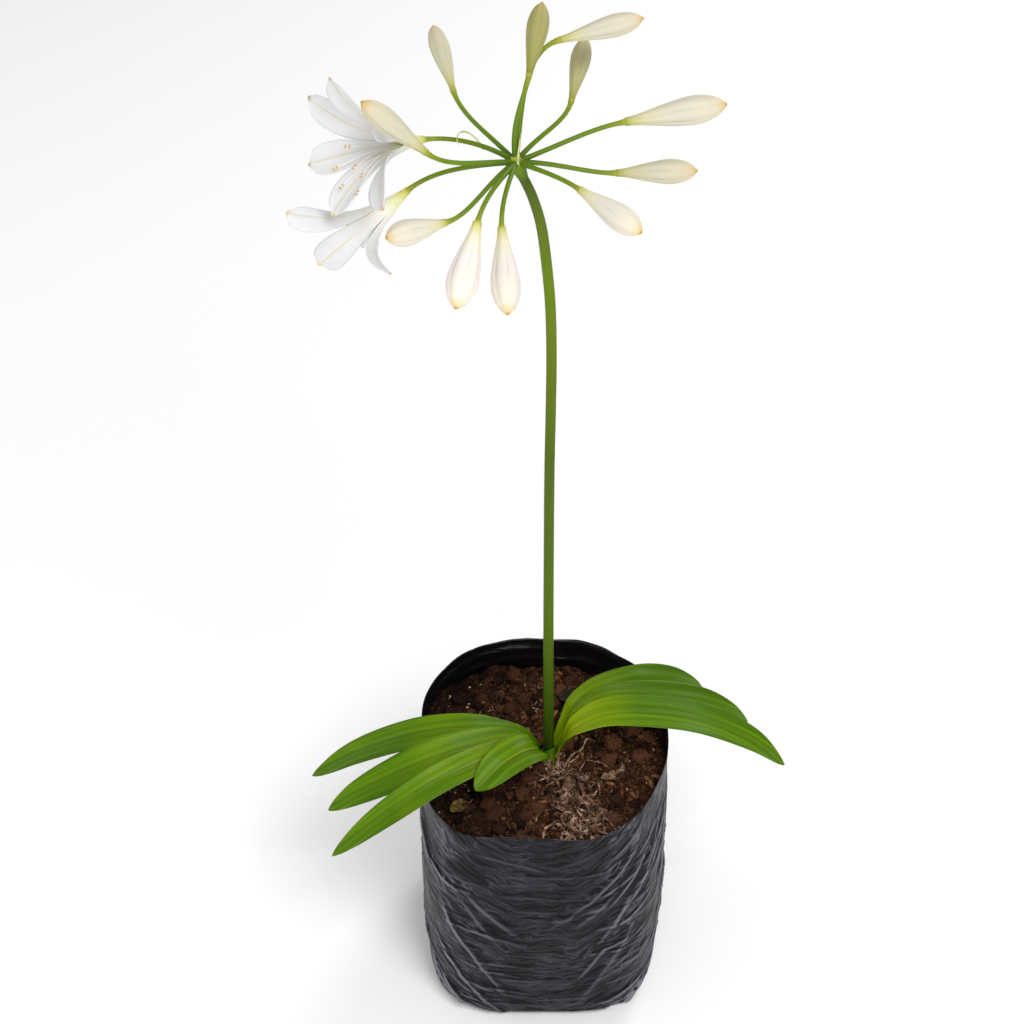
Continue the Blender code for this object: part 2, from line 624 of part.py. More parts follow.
def build_stamens(name, flower, material):
    """The flower's ovary and style with its six stamens, standing in the tube."""
    foot, aim, aside, up = flower_frame(flower)
    base = foot + aim * (TEPAL_THICKNESS / 2 + CLEAR)
    ovary = [base + aim * s * MM for s, radius in OVARY]
    meshes = [tube_mesh(ovary, [radius * MM for s, radius in OVARY], 6)]
    for turn, reach, spread in flower.stamens + (flower.style,):
        angle = math.radians(turn)
        spot = aside * math.cos(angle) + up * math.sin(angle)
        line = [base + (aim * 3.5 + spot * 0.2) * MM,
                base + (aim * 11 + spot * min(0.08 * spread, 1.6)) * MM,
                base + (aim * (reach * 0.7) + spot * 0.42 * spread) * MM,
                base + (aim * reach + spot * spread) * MM]
        line = smooth_line(line, 4)
        meshes.append(tube_mesh(line, [FILAMENT_RADIUS] * 5, 3))
        if spread != flower.style[2]:
            way = (line[-1] - line[-2]).normalized()
            anther = [line[-1] + way * s * MM for s, radius in ANTHER]
            meshes.append(tube_mesh(anther, [radius * MM for s, radius in ANTHER], 4))
    return fuse(name, meshes, material)


def drop_to(tree, x, y, reach):
    """The highest compost within reach of a place."""
    best = 0.0
    for dx, dy in ((0, 0), (reach, 0), (-reach, 0), (0, reach), (0, -reach)):
        spot = tree.ray_cast(Vector((x + dx, y + dy, 0.3)), Vector((0, 0, -1)))[0]
        best = max(best, spot.z if spot else 0.0)
    return best


def build_root_tangle(tree):
    """Old dry roots, washed out of the compost, matted together in front of the neck."""
    draw = random.Random(11)
    middle = TANGLE_MIDDLE
    meshes = []
    for k in range(TANGLE_STRANDS):
        heading = 2 * math.pi * k / TANGLE_STRANDS + draw.uniform(-0.3, 0.3)
        line = []
        reach = draw.uniform(*TANGLE_REACH)
        for step in range(7):
            r = (step - 1) * reach / 5 * MM
            bend = heading + 0.7 * math.sin(step * 1.3 + k)
            x = middle.x + r * math.cos(bend) * 0.75
            y = middle.y + r * math.sin(bend)
            line.append(Vector((x, y, drop_to(tree, x, y, 3 * MM) + TANGLE_LIFT)))
        meshes.append(tube_mesh(smooth_line(line, 7), [TANGLE_RADIUS] * 8, 4))
    knot = [middle + Vector((dx * MM, 0, 0)) for dx, radius in TANGLE_KNOT]
    high = max(drop_to(tree, point.x, point.y, 3 * MM) for point in knot)
    for point in knot:
        point.z = high + KNOT_LIFT
    meshes.insert(0, tube_mesh(knot, [radius * MM for dx, radius in TANGLE_KNOT], 8))
    return fuse("dry_root_tangle", meshes, surface("dry_root", (0.2, 0.12, 0.07), 0.9))


def build_chip(chip, tree):
    """A flat chip that lies on the compost, with an uneven outline."""
    draw = random.Random(chip.name)
    outline = []
    for k in range(CHIP_SIDES):
        angle = 2 * math.pi * k / CHIP_SIDES
        share = draw.uniform(*CHIP_RAGGED) / 2 * MM
        flat = Vector((chip.length * share * math.cos(angle), chip.width * share * math.sin(angle), 0))
        outline.append(Matrix.Rotation(math.radians(chip.turn), 3, "Z") @ flat)
    x = chip.x * MM
    y = chip.y * MM
    high = max(drop_to(tree, x + p.x, y + p.y, 1 * MM) for p in outline + [Vector()])
    low_ring = [Vector((x, y, high + CLEAR)) + p for p in outline]
    top_ring = [Vector((x, y, high + CLEAR + chip.thickness * MM)) + p * CHIP_BEVEL for p in outline]
    bm = bmesh.new()
    loft(bm, [low_ring, top_ring])
    return place(chip.name, mesh_from(bm), surface(*chip.surface))


def build_plant():
    """Every piece of the potted plant, from the bag up to the flowers."""
    build_bag()
    compost = build_compost(root_meshes(CLEAR) + [neck_hole()])
    fuse("rootstock", root_meshes(0.0), surface("fleshy_root", (0.55, 0.45, 0.3), 0.7))
    build_neck()
    leaf_green = surface("leaf_green", (0.08, 0.25, 0.012), 0.32)
    for leaf in LEAVES:
        build_leaf(leaf, leaf_green)
    scape, end, way, radius = build_scape()
    build_umbel(end, way, radius)
    bud_cream = surface("bud_cream", (0.8, 0.77, 0.58), 0.45)
    for number, bud in enumerate(BUDS, 1):
        build_bud(f"bud_{number:02d}", bud, bud_cream)
    tepal_white = surface("tepal_white", (0.85, 0.85, 0.83), 0.4)
    pollen = surface("stamen_cream", (0.75, 0.6, 0.3), 0.6)
    for number, flower in enumerate(FLOWERS, 1):
        build_flower(f"flower_{number}", flower, tepal_white)
        build_stamens(f"flower_{number}_stamens", flower, pollen)
    bpy.context.view_layer.update()
    tree = BVHTree.FromObject(compost, bpy.context.evaluated_depsgraph_get())
    build_root_tangle(tree)
    for chip in CHIPS:
        build_chip(chip, tree)


clear_scene()
build_plant()
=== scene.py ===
import math
import random

import bmesh
import bpy
from mathutils import Matrix, Vector, noise


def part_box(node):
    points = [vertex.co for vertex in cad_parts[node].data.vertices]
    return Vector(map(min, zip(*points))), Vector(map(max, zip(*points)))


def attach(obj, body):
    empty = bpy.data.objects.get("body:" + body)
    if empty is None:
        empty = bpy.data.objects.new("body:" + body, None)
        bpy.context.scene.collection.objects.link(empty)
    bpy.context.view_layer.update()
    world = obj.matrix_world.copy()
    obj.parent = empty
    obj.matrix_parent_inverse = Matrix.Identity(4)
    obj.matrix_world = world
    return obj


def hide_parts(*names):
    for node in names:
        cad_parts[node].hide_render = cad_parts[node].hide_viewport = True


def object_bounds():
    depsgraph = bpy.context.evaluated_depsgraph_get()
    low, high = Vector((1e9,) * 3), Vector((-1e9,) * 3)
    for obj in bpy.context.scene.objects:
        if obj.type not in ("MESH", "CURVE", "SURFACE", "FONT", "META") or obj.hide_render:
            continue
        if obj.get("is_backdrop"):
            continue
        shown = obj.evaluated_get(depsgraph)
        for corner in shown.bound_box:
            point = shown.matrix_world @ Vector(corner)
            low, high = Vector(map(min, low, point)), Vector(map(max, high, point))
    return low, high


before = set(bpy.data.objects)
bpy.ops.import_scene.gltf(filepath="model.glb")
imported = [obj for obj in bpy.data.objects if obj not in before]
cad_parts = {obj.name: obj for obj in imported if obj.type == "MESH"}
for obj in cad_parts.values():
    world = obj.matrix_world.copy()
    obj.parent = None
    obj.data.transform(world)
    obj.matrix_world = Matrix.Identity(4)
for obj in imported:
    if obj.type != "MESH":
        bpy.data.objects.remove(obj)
cad_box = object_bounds()

# The nursery bag: a tube of black polythene film, welded flat across its bottom and filled until
# it stands. Blown film this thin keeps every crease it was packed with, so the wall is one skin
# of film laid over the plan of the filled bag and pressed into long soft folds.
MM = 0.001
BAG_RADIUS = 64 * MM
BAG_HEIGHT = 160 * MM
BAG_BACK_RISE = 9 * MM
BAG_LEFT_DROP = 4 * MM
BAG_SQUARENESS = (3.5, 3.0)
BAG_DENT = 2.5 * MM
BAG_DENT_AZIMUTH = 52
BAG_DENT_WIDTH = 0.3
BAG_FOLD = 0.6 * MM
CORNER_AZIMUTH = -40
CORNER_PRESS = 6 * MM
CORNER_WIDTH = 0.36
# count, share and phase of the waves round the wall and the rim
WALL_WAVES = ((5, 1.0, 0.6), (9, 0.6, 2.0))
RIM_WAVES = ((7, 0.7, 1.0), (12, 0.5, 0.0))
RIM_CRIMP = 0.6
BAG_PROFILE = ((0.0, 0.89), (1.5, 0.935), (5.0, 0.965), (14.0, 0.985), (40.0, 1.0), (75.0, 1.012),
               (115.0, 1.01), (147.0, 1.0))
FILM = 0.35 * MM
BAG_COLUMNS = 420
BAG_ROWS = 176
BAG_INNER_ROWS = 26
RIB_DEPTH = 2.2
FAN_START = 16
FAN_RISE = 0.75
UNROLLED = 400
# kind, count, how far from the front's middle, height, angle, length, width of each slope, relief
CREASES = (
    ("level", 190, (0, 200), (3, 146), (-3, 7), (12, 44), (0.8, 2.2), (0.3, 0.7)),
    ("oblique", 130, (16, 200), (4, 146), (16, 36), (16, 46), (1.1, 3.2), (0.45, 0.95)),
    ("steep", 56, (18, 200), (8, 136), (50, 70), (30, 84), (1.4, 5.0), (0.8, 1.6)),
)
# side, height, angle, length, width, depth: where the corners are folded under
TUCKS = (
    (-48, 12, -52, 26, 3.0, 3.6), (-60, 22, -78, 18, 2.4, 3.0), (-38, 6, -22, 22, 2.0, 2.4),
    (42, 7, 24, 36, 3.2, 3.8), (52, 14, 44, 28, 2.6, 3.2), (34, 3, 8, 20, 2.2, 2.4),
)


def linear(hex_colour):
    """An sRGB hex colour as linear RGBA."""
    parts = [int(hex_colour[k:k + 2], 16) / 255 for k in (1, 3, 5)]
    return (*(c / 12.92 if c <= 0.04045 else ((c + 0.055) / 1.055) ** 2.4 for c in parts), 1.0)


def add(tree, kind, inputs=(), out=0, ramp=(), **settings):
    """Add a node with its settings and return one of its outputs.

    inputs maps a socket's name or number to a value or to another node's output, and ramp
    gives a colour ramp its places and hex colours.
    """
    node = tree.nodes.new(kind)
    for name, value in settings.items():
        setattr(node, name, value)
    for key, value in dict(inputs).items():
        if isinstance(value, bpy.types.NodeSocket):
            tree.links.new(value, node.inputs[key])
        else:
            node.inputs[key].default_value = value
    if ramp:
        stops = node.color_ramp.elements
        while len(stops) < len(ramp):
            stops.new(0.5)
        for stop, (place, colour) in zip(stops, ramp):
            stop.position = place
            stop.color = linear(colour)
    return node.outputs[out] if node.outputs else node


def finish(name, roughness, **sockets):
    """A new material, its node tree and its Principled shader's inputs."""
    material = bpy.data.materials.new(name)
    material.use_nodes = True
    tree = material.node_tree
    shader = tree.nodes["Principled BSDF"]
    shader.inputs["Roughness"].default_value = roughness
    for key, value in sockets.items():
        shader.inputs[key.replace("_", " ")].default_value = value
    return material, tree, shader.inputs


def mix(tree, amount, low, high, blend="MIX"):
    """A colour between two, each of which is a hex value or another node's output."""
    low, high = (linear(c) if isinstance(c, str) else c for c in (low, high))
    return add(tree, "ShaderNodeMix", {0: amount, 6: low, 7: high}, out=2,
               data_type="RGBA", blend_type=blend)


def maths(tree, operation, first, second=0.5):
    """One sum of two values, each a number or another node's output."""
    return add(tree, "ShaderNodeMath", {0: first, 1: second}, operation=operation)


def remap(tree, value, start, end, low=0.0, high=1.0):
    """A value that runs from low to high while the given one runs from start to end."""
    return add(tree, "ShaderNodeMapRange", {"Value": value, "From Min": start, "From Max": end,
                                            "To Min": low, "To Max": high})


def ramped(tree, value, ramp):
    """The colour of a ramp at a value."""
    return add(tree, "ShaderNodeValToRGB", {"Fac": value}, ramp=ramp)


def kept(tree, name):
    """The number that each point of the mesh keeps under a name."""
    return add(tree, "ShaderNodeAttribute", out="Fac", attribute_name=name)


def where(tree):
    """The shaded point's own place, in metres."""
    return add(tree, "ShaderNodeTexCoord", out="Object")


def coat(tree, shader, colour):
    """Give a material its colour."""
    tree.links.new(colour, shader["Base Color"])


def bump(tree, shader, height, strength, distance):
    """Let a value stand out as relief on a material."""
    relief = add(tree, "ShaderNodeBump", {"Height": height, "Strength": strength, "Distance": distance})
    tree.links.new(relief, shader["Normal"])


def speckle(tree, place, scale, detail=3.0, roughness=0.5, stretch=(1, 1, 1)):
    """A noise value whose grain is scale metres long, stretched along the axes."""
    spread = add(tree, "ShaderNodeMapping", {"Vector": place, "Scale": Vector(stretch) / scale})
    return add(tree, "ShaderNodeTexNoise", {"Vector": spread, "Scale": 1.0, "Detail": detail,
                                            "Roughness": roughness})


def skin(rows, wrap=True, caps=(True, True)):
    """A mesh over rows of points, joined from row to row and, with wrap, round each row."""
    count = len(rows[0])
    faces = []
    for r in range(len(rows) - 1):
        for c in range(count if wrap else count - 1):
            d = (c + 1) % count
            faces.append((r * count + c, r * count + d, (r + 1) * count + d, (r + 1) * count + c))
    last = (len(rows) - 1) * count
    if caps[0]:
        faces.append(tuple(reversed(range(count))))
    if caps[1]:
        faces.append(tuple(range(last, last + count)))
    mesh = bpy.data.meshes.new("skin")
    mesh.from_pydata([point for row in rows for point in row], [], faces)
    mesh.shade_smooth()
    return mesh


def mark(mesh, **values):
    """Keep a number for each point of a mesh, for its material to read."""
    for name, numbers in values.items():
        mesh.attributes.new(name, "FLOAT", "POINT").data.foreach_set("value", numbers)


def stand(name, mesh, *materials):
    """Put a mesh in the scene as a named piece with its materials."""
    mesh.name = name
    for material in materials:
        mesh.materials.append(material)
    piece = bpy.data.objects.new(name, mesh)
    bpy.context.scene.collection.objects.link(piece)
    return piece


def blend(values, t):
    """Read a list of (place, value) pairs at t, straight between the pairs."""
    for (a, low), (b, high) in zip(values, values[1:]):
        if t <= b:
            return low + (high - low) * max(t - a, 0.0) / (b - a)
    return values[-1][1]


def eased(values, t):
    """Read a list of (place, value) pairs at t along a smooth curve through them."""
    k = 0
    while k < len(values) - 2 and t > values[k + 1][0]:
        k += 1
    (a, low), (b, high) = values[k:k + 2]
    before = values[max(k - 1, 0)]
    after = values[min(k + 2, len(values) - 1)]
    leave = (high - before[1]) / (b - before[0]) * (b - a)
    arrive = (after[1] - low) / (after[0] - a) * (b - a)
    u = min(max((t - a) / (b - a), 0.0), 1.0)
    return (low * (1 + 2 * u) * (1 - u) ** 2 + leave * u * (1 - u) ** 2
            + high * (3 - 2 * u) * u * u + arrive * u * u * (u - 1))


def waves(angle, parts):
    """The sum of waves round the bag, each a (count, share, phase)."""
    return sum(share * math.sin(count * angle + phase) for count, share, phase in parts)


def bag_radius(angle, height):
    """The smooth outer radius of the bag in one direction at one height."""
    share = min(height / BAG_HEIGHT, 1.0)
    power = BAG_SQUARENESS[0] + (BAG_SQUARENESS[1] - BAG_SQUARENESS[0]) * share
    square = (abs(math.cos(angle)) ** power + abs(math.sin(angle)) ** power) ** (-1 / power)
    profile = blend(BAG_PROFILE, height / MM)
    fold = waves(angle, WALL_WAVES)
    dent = math.exp(-((angle - math.radians(BAG_DENT_AZIMUTH)) / BAG_DENT_WIDTH) ** 2)
    corner = math.remainder(angle - math.radians(CORNER_AZIMUTH), 2 * math.pi)
    pressed = CORNER_PRESS * math.exp(-(corner / CORNER_WIDTH) ** 2) * share ** 3
    return BAG_RADIUS * profile * square + (BAG_FOLD * fold - BAG_DENT * dent) * share - pressed


def bag_rim(angle):
    """The height of the rim, raised at the back and lower under the left leaves."""
    back = max(math.sin(angle), 0.0) ** 2
    left = max(-math.cos(angle), 0.0) ** 4
    wave = waves(angle, RIM_WAVES)
    crimp = RIM_CRIMP * noise.noise(Vector((math.cos(angle) * 9, math.sin(angle) * 9, 0.3)))
    return BAG_HEIGHT + BAG_BACK_RISE * back - BAG_LEFT_DROP * left + (wave + crimp) * MM


def press(relief, side, height, angle, length, slopes, depth):
    """Press one straight crease into the relief: a crest with a slope to either side of it."""
    way = (math.cos(math.radians(angle)), math.sin(math.radians(angle)))
    step = UNROLLED / BAG_COLUMNS
    reach = length / 2 * abs(way[0]) + max(slopes)
    tall = length / 2 * abs(way[1]) + max(slopes)
    for row, z in enumerate(film_heights):
        if abs(z - height) > tall:
            continue
        for column in range(math.floor((side - reach) / step), math.ceil((side + reach) / step) + 1):
            x = column * step - side
            along = (x * way[0] + (z - height) * way[1]) / (length / 2)
            off = (z - height) * way[0] - x * way[1]
            slope = 1 - abs(off) / slopes[off > 0]
            if abs(along) < 1 and slope > 0:
                relief[row][column % BAG_COLUMNS] += depth * slope * (1 - along * along) ** 0.6


def crease_relief():
    """How far the film stands off its smooth shape, in millimetres, for each row and column.

    Level creases go all the way round. To both sides of the front, longer ones climb away from
    its middle, so that they meet there in a V, and each corner is folded under at the bottom.
    """
    draw = random.Random(31)
    relief = [[0.0] * BAG_COLUMNS for _ in film_heights]
    for kind, count, sides, heights, angles, lengths, widths, depths in CREASES:
        for _ in range(count):
            hand = draw.choice((-1, 1))
            side = draw.uniform(*sides)
            slopes = (draw.uniform(*widths), draw.uniform(*widths))
            press(relief, hand * side, draw.uniform(*heights), hand * draw.uniform(*angles),
                  draw.uniform(*lengths), slopes, draw.uniform(*depths))
    for side, height, angle, length, width, depth in TUCKS:
        press(relief, side, height, angle, length, (width, width), -depth)
        press(relief, side + width, height + width, angle, length, (width, width / 2), 0.6 * depth)
    for row, z in enumerate(film_heights):
        calm = min(z / 3, 1.0) * (0.3 + 0.7 * min(max((154 - z) / 16, 0.0), 1.0))
        for column, angle in enumerate(bag_angles):
            swell = noise.noise(Vector((math.cos(angle) * 1.7, math.sin(angle) * 1.7, z / 32)))
            relief[row][column] = calm * (relief[row][column] + 0.5 * swell - 0.3)
    return relief


# Columns go round from the middle of the front.
bag_angles = [2 * math.pi * k / BAG_COLUMNS - math.pi / 2 for k in range(BAG_COLUMNS)]
bag_rims = [bag_rim(angle) for angle in bag_angles]
film_heights = [BAG_HEIGHT / MM * (k / BAG_ROWS) ** 1.08 for k in range(BAG_ROWS + 1)]
bag_relief = crease_relief()


def crest_marks():
    """How far each point of the wall stands above the film about it, in millimetres."""
    marks = []
    for row, relief in enumerate(bag_relief):
        above = bag_relief[min(row + 2, BAG_ROWS)]
        below = bag_relief[max(row - 2, 0)]
        for column in range(BAG_COLUMNS):
            right = (column + 2) % BAG_COLUMNS
            about = (above[column] + below[column] + relief[column - 2] + relief[right]) / 4
            marks.append(relief[column] - about)
    return marks


def film_ring(row, inset, scale=1.0, ribs=0.0):
    """One ring of the film, at the height of a row of its outer wall."""
    ring = []
    z = film_heights[row] * MM
    lift = max(z / BAG_HEIGHT - 0.7, 0.0) / 0.3
    for angle, rim, relief in zip(bag_angles, bag_rims, bag_relief[row]):
        around = Vector((math.cos(angle) * 1.6, math.sin(angle) * 1.6, film_heights[row] / 4.4))
        rib = ribs * max(noise.noise(around) + 0.2, 0.0) * MM
        r = (bag_radius(angle, z) + relief * MM - inset - rib) * scale
        ring.append(Vector((r * math.cos(angle), r * math.sin(angle), z + (rim - BAG_HEIGHT) * lift)))
    return ring


film_rows = [film_ring(0, 0, scale) for scale in (0.02, 0.35, 0.7)]
film_rows += [film_ring(row, 0) for row in range(BAG_ROWS + 1)]
outer_faces = (len(film_rows) - 1) * BAG_COLUMNS
for k in range(BAG_INNER_ROWS):
    film_rows.append(film_ring(BAG_ROWS - k, FILM, ribs=min(k / 4, 1.0) * RIB_DEPTH))
film_rows += [film_ring(row, 1.8 * MM) for row in (BAG_ROWS - BAG_INNER_ROWS - 4, 100, 60, 30, 12)]
film_mesh = skin(film_rows)
for face in film_mesh.polygons:
    face.material_index = int(face.index >= outer_faces)
crests = [0.0] * (3 * BAG_COLUMNS) + crest_marks()
crests += [0.0] * (len(film_mesh.vertices) - len(crests))
from_middle = [min(k, BAG_COLUMNS - k, abs(BAG_COLUMNS // 2 - k)) * UNROLLED / BAG_COLUMNS
               for k in range(BAG_COLUMNS)] * len(film_rows)
levels = [point.co.z / MM - FAN_RISE * max(away - FAN_START, 0.0)
          for point, away in zip(film_mesh.vertices, from_middle)]
mark(film_mesh, crest=crests, aside=from_middle, lie=levels)

# Blown polythene film, carbon black: dark with a blue cast and satin. Painted shade darkens the valleys of
# its folds and painted light brightens their raised parts, and painted highlights draw fine grey lines on the
# crests, which lie level in front and fan out upwards to both sides, stronger towards the sides.
film_outside, tree, shader = finish("blown_polythene_film", 0.32, Specular_IOR_Level=0.1)
place = where(tree)
crest = kept(tree, "crest")
aside = kept(tree, "aside")
lie = kept(tree, "lie")
spread = add(tree, "ShaderNodeSeparateXYZ", {0: place}).node.outputs
stray = remap(tree, speckle(tree, place, 18 * MM, 1.0), 0.0, 1.0, -6.0, 6.0)
lie = maths(tree, "ADD", lie, stray)
fan = add(tree, "ShaderNodeCombineXYZ", {0: spread[0], 1: spread[1], 2: maths(tree, "MULTIPLY", lie, MM)})
# the painted highlights grow stronger away from the middle of the front, towards the sides
toward_sides = remap(tree, aside, 16.0, 50.0, 0.3, 1.0)
folds = speckle(tree, fan, 8 * MM, 2.0, 0.5, (0.3, 0.3, 1.0))
wrinkles = speckle(tree, fan, 3.6 * MM, 2.0, 0.5, (0.28, 0.28, 1.0))
relief = maths(tree, "ADD", folds, wrinkles)
# painted shade in the valleys of the folds and painted light on their raised parts
painted_fold_shade = ramped(tree, maths(tree, "MULTIPLY", relief, 0.5),
                ((0.4, "#050408"), (0.5, "#0c0b10"), (0.62, "#26232c")))
# thin pale lines along the wrinkles: painted highlights, shown only in patches
off = maths(tree, "ABSOLUTE", maths(tree, "SUBTRACT", wrinkles, 0.5))
highlight_hairline = remap(tree, off, 0.0, 0.05, 0.7, 0.0)
worn = remap(tree, speckle(tree, place, 20 * MM, 3.0, 0.6), 0.42, 0.62)
lines = maths(tree, "MULTIPLY", highlight_hairline, worn)
# the crests of the creases: painted highlights
crest_highlight_mask = remap(tree, crest, 0.03, 0.4, 0.0, 0.95)
painted_crest_highlight = maths(tree, "MULTIPLY", maths(tree, "MAXIMUM", lines, crest_highlight_mask), toward_sides)
coat(tree, shader, mix(tree, painted_crest_highlight, painted_fold_shade, "#7a7680"))
bump(tree, shader, relief, 1.0, 1.4 * MM)
tree.links.new(remap(tree, relief, 0.0, 1.0, 0.2, 0.38), shader["Roughness"])

# The same film inside, clean and still glossy, ribbed along its length by the blowing.
film_inside, tree, shader = finish("glossy_polythene_film", 0.24)
shader["Base Color"].default_value = linear("#0c0b0d")
place = where(tree)
ribs = speckle(tree, place, 2.4 * MM, 3.0, 0.5, (0.08, 0.08, 1.4))
bump(tree, shader, ribs, 0.6, 0.5 * MM)

bag = stand("film_bag", film_mesh, film_outside, film_inside)
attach(bag, "root")
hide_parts("grow_bag")

# The compost: peat and composted bark, pressed into the bag by hand and lumpy on top. One closed
# body fills the bag, with a hole down its middle where the neck of the plant stands.
SOIL_LEVEL = 148 * MM
SOIL_LUMP = 3 * MM
SOIL_CALM = 22 * MM
CLODS = ((13 * MM, 4.6, 0.0), (6.5 * MM, 2.5, 4.0), (2.6 * MM, 1.0, 9.0))
# how often the ground rises and falls in a metre: its swells, its lumps and its grain
SWELL_RATE = 55
LUMP_RATE = 140
GRAIN_RATE = 800
STEM_FOOT = Vector((2.3, -0.6, 0)) * MM
NECK_RADIUS = 5.4 * MM
NECK_BOTTOM = 139.35 * MM
SOIL_COLUMNS = 260
SOIL_RINGS = 96
# height and distance from the film of the rings below the top, in millimetres
SOIL_SIDE = ((1.2, 6.0), (6, 4.0), (40, 3.0), (100, 3.0), (138, 3.0))
CLEAR = 0.35 * MM


def ground(x, y):
    """The height of the compost at a place: lumps of three sizes with pits between them."""
    coarse = noise.noise(Vector((x, y, 0.0)) * SWELL_RATE)
    fine = noise.noise(Vector((x, y, 0.4)) * LUMP_RATE)
    away = (Vector((x, y, 0.0)) - STEM_FOOT).length
    base = SOIL_LEVEL + min(away / SOIL_CALM, 1.0) * SOIL_LUMP * (coarse + 0.7 * fine)
    warp = Vector((fine, coarse, 0.0)) * 3 * MM
    lumps = -1.5
    for size, height, layer in CLODS:
        near, far = noise.voronoi((Vector((x, y, 0.0)) + warp) / size + Vector((0, 0, layer)))[0][:2]
        lumps += height * (min(far - near, 0.45) - 0.12)
    lumps += 0.5 * noise.noise(Vector((x, y, 0.7)) * GRAIN_RATE)
    free = min(max((away - 7 * MM) / (8 * MM), 0.0), 1.0)
    return base + free * lumps * MM


hole = NECK_RADIUS * 1.02 + CLEAR
soil_rows = []
for height, inset in SOIL_SIDE:
    ring = []
    for k in range(SOIL_COLUMNS):
        angle = 2 * math.pi * k / SOIL_COLUMNS
        r = bag_radius(angle, height * MM) - inset * MM
        ring.append(Vector((r * math.cos(angle), r * math.sin(angle), height * MM)))
    soil_rows.append(ring)
for share in [1 - k / SOIL_RINGS for k in range(SOIL_RINGS + 1)]:
    ring = []
    for k in range(SOIL_COLUMNS):
        angle = 2 * math.pi * k / SOIL_COLUMNS
        r = bag_radius(angle, SOIL_LEVEL) - 1.1 * MM
        edge = Vector((r * math.cos(angle), r * math.sin(angle), 0))
        inner = STEM_FOOT + Vector((math.cos(angle), math.sin(angle), 0)) * hole
        point = inner.lerp(edge, share)
        point.z = ground(point.x, point.y)
        ring.append(point)
    soil_rows.append(ring)
soil_rows.append([Vector((p.x, p.y, NECK_BOTTOM - 2 * MM)) for p in soil_rows[-1]])
soil_mesh = skin(soil_rows)

# Moist peat with bark fines: brown to rust on the crumbs that have dried, and dead matte. Painted shade
# darkens it to nearly black in its pits, and a painted shadow of the left leaves darkens its left side.
peat, tree, shader = finish("moist_peat_and_bark", 0.95, Specular_IOR_Level=0.1)
place = where(tree)
broad = speckle(tree, place, 22 * MM, 4.0)
grain = speckle(tree, place, 1.5 * MM, 6.0, 0.7)
brown = ramped(tree, grain, ((0.34, "#0f0805"), (0.47, "#3a2316"), (0.58, "#6c432b"), (0.7, "#a67352")))
patchy = mix(tree, remap(tree, broad, 0.35, 0.65), brown, mix(tree, 0.55, brown, "#140c08"))


def painted_left_leaf_shadow(tree, place, colour):
    """Paint the shadow of the left leaves: darken a colour towards the left side of the compost."""
    side = add(tree, "ShaderNodeSeparateXYZ", {0: place}, out=0)
    return mix(tree, remap(tree, side, -44 * MM, 4 * MM, 0.72, 0.0), colour, "#080605")


level = add(tree, "ShaderNodeSeparateXYZ", {0: place}, out=2)
# darker towards the lowest parts of the compost: painted shade in its pits
painted_pit_shade = remap(tree, level, 142.5 * MM, 147.2 * MM, 0.85, 0.0)
coat(tree, shader, mix(tree, painted_pit_shade, painted_left_leaf_shadow(tree, place, patchy), "#060302"))
bump(tree, shader, grain, 1.0, 1.2 * MM)

compost = stand("compost_bed", soil_mesh, peat)
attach(compost, "root")
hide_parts("potting_compost")

# Loose crumbs on top of the compost: peat crumbs, chips of composted bark and pale grit, strewn
# over it by one scattering tree, each kind with its own size, shape and colours.
# name, grains per square millimetre, sizes, stretch, facets, seed, shades
CRUMBS = (
    ("peat_clods", 0.011, (1.4, 4.2), (1.2, 1, 0.75), 3, 33, ("#140904", "#412718", "#7c5039")),
    ("peat_crumbs", 0.12, (0.5, 1.4), (1, 1, 0.8), 2, 3, ("#140904", "#4f2f1c", "#8e5c3f")),
    ("peat_dust", 0.55, (0.2, 0.55), (1, 1, 0.9), 1, 7, ("#190d06", "#4f2e18", "#99683f")),
    ("bark_fines", 0.012, (0.6, 1.7), (1.8, 0.8, 0.5), 2, 12, ("#3f2416", "#7d5233", "#b98759")),
    ("pale_grit", 0.009, (0.35, 0.75), (1.2, 1, 0.9), 2, 21, ("#b98d56", "#e0bf8c", "#f6dfb6")),
)
STREWN_SHARE = 0.94


def group_input(group, kind, name, value):
    """A named input of a node tree, with the value that it starts from."""
    socket = group.interface.new_socket(name=name, in_out="INPUT", socket_type="NodeSocket" + kind)
    if value is not None:
        socket.default_value = value
    return socket.identifier


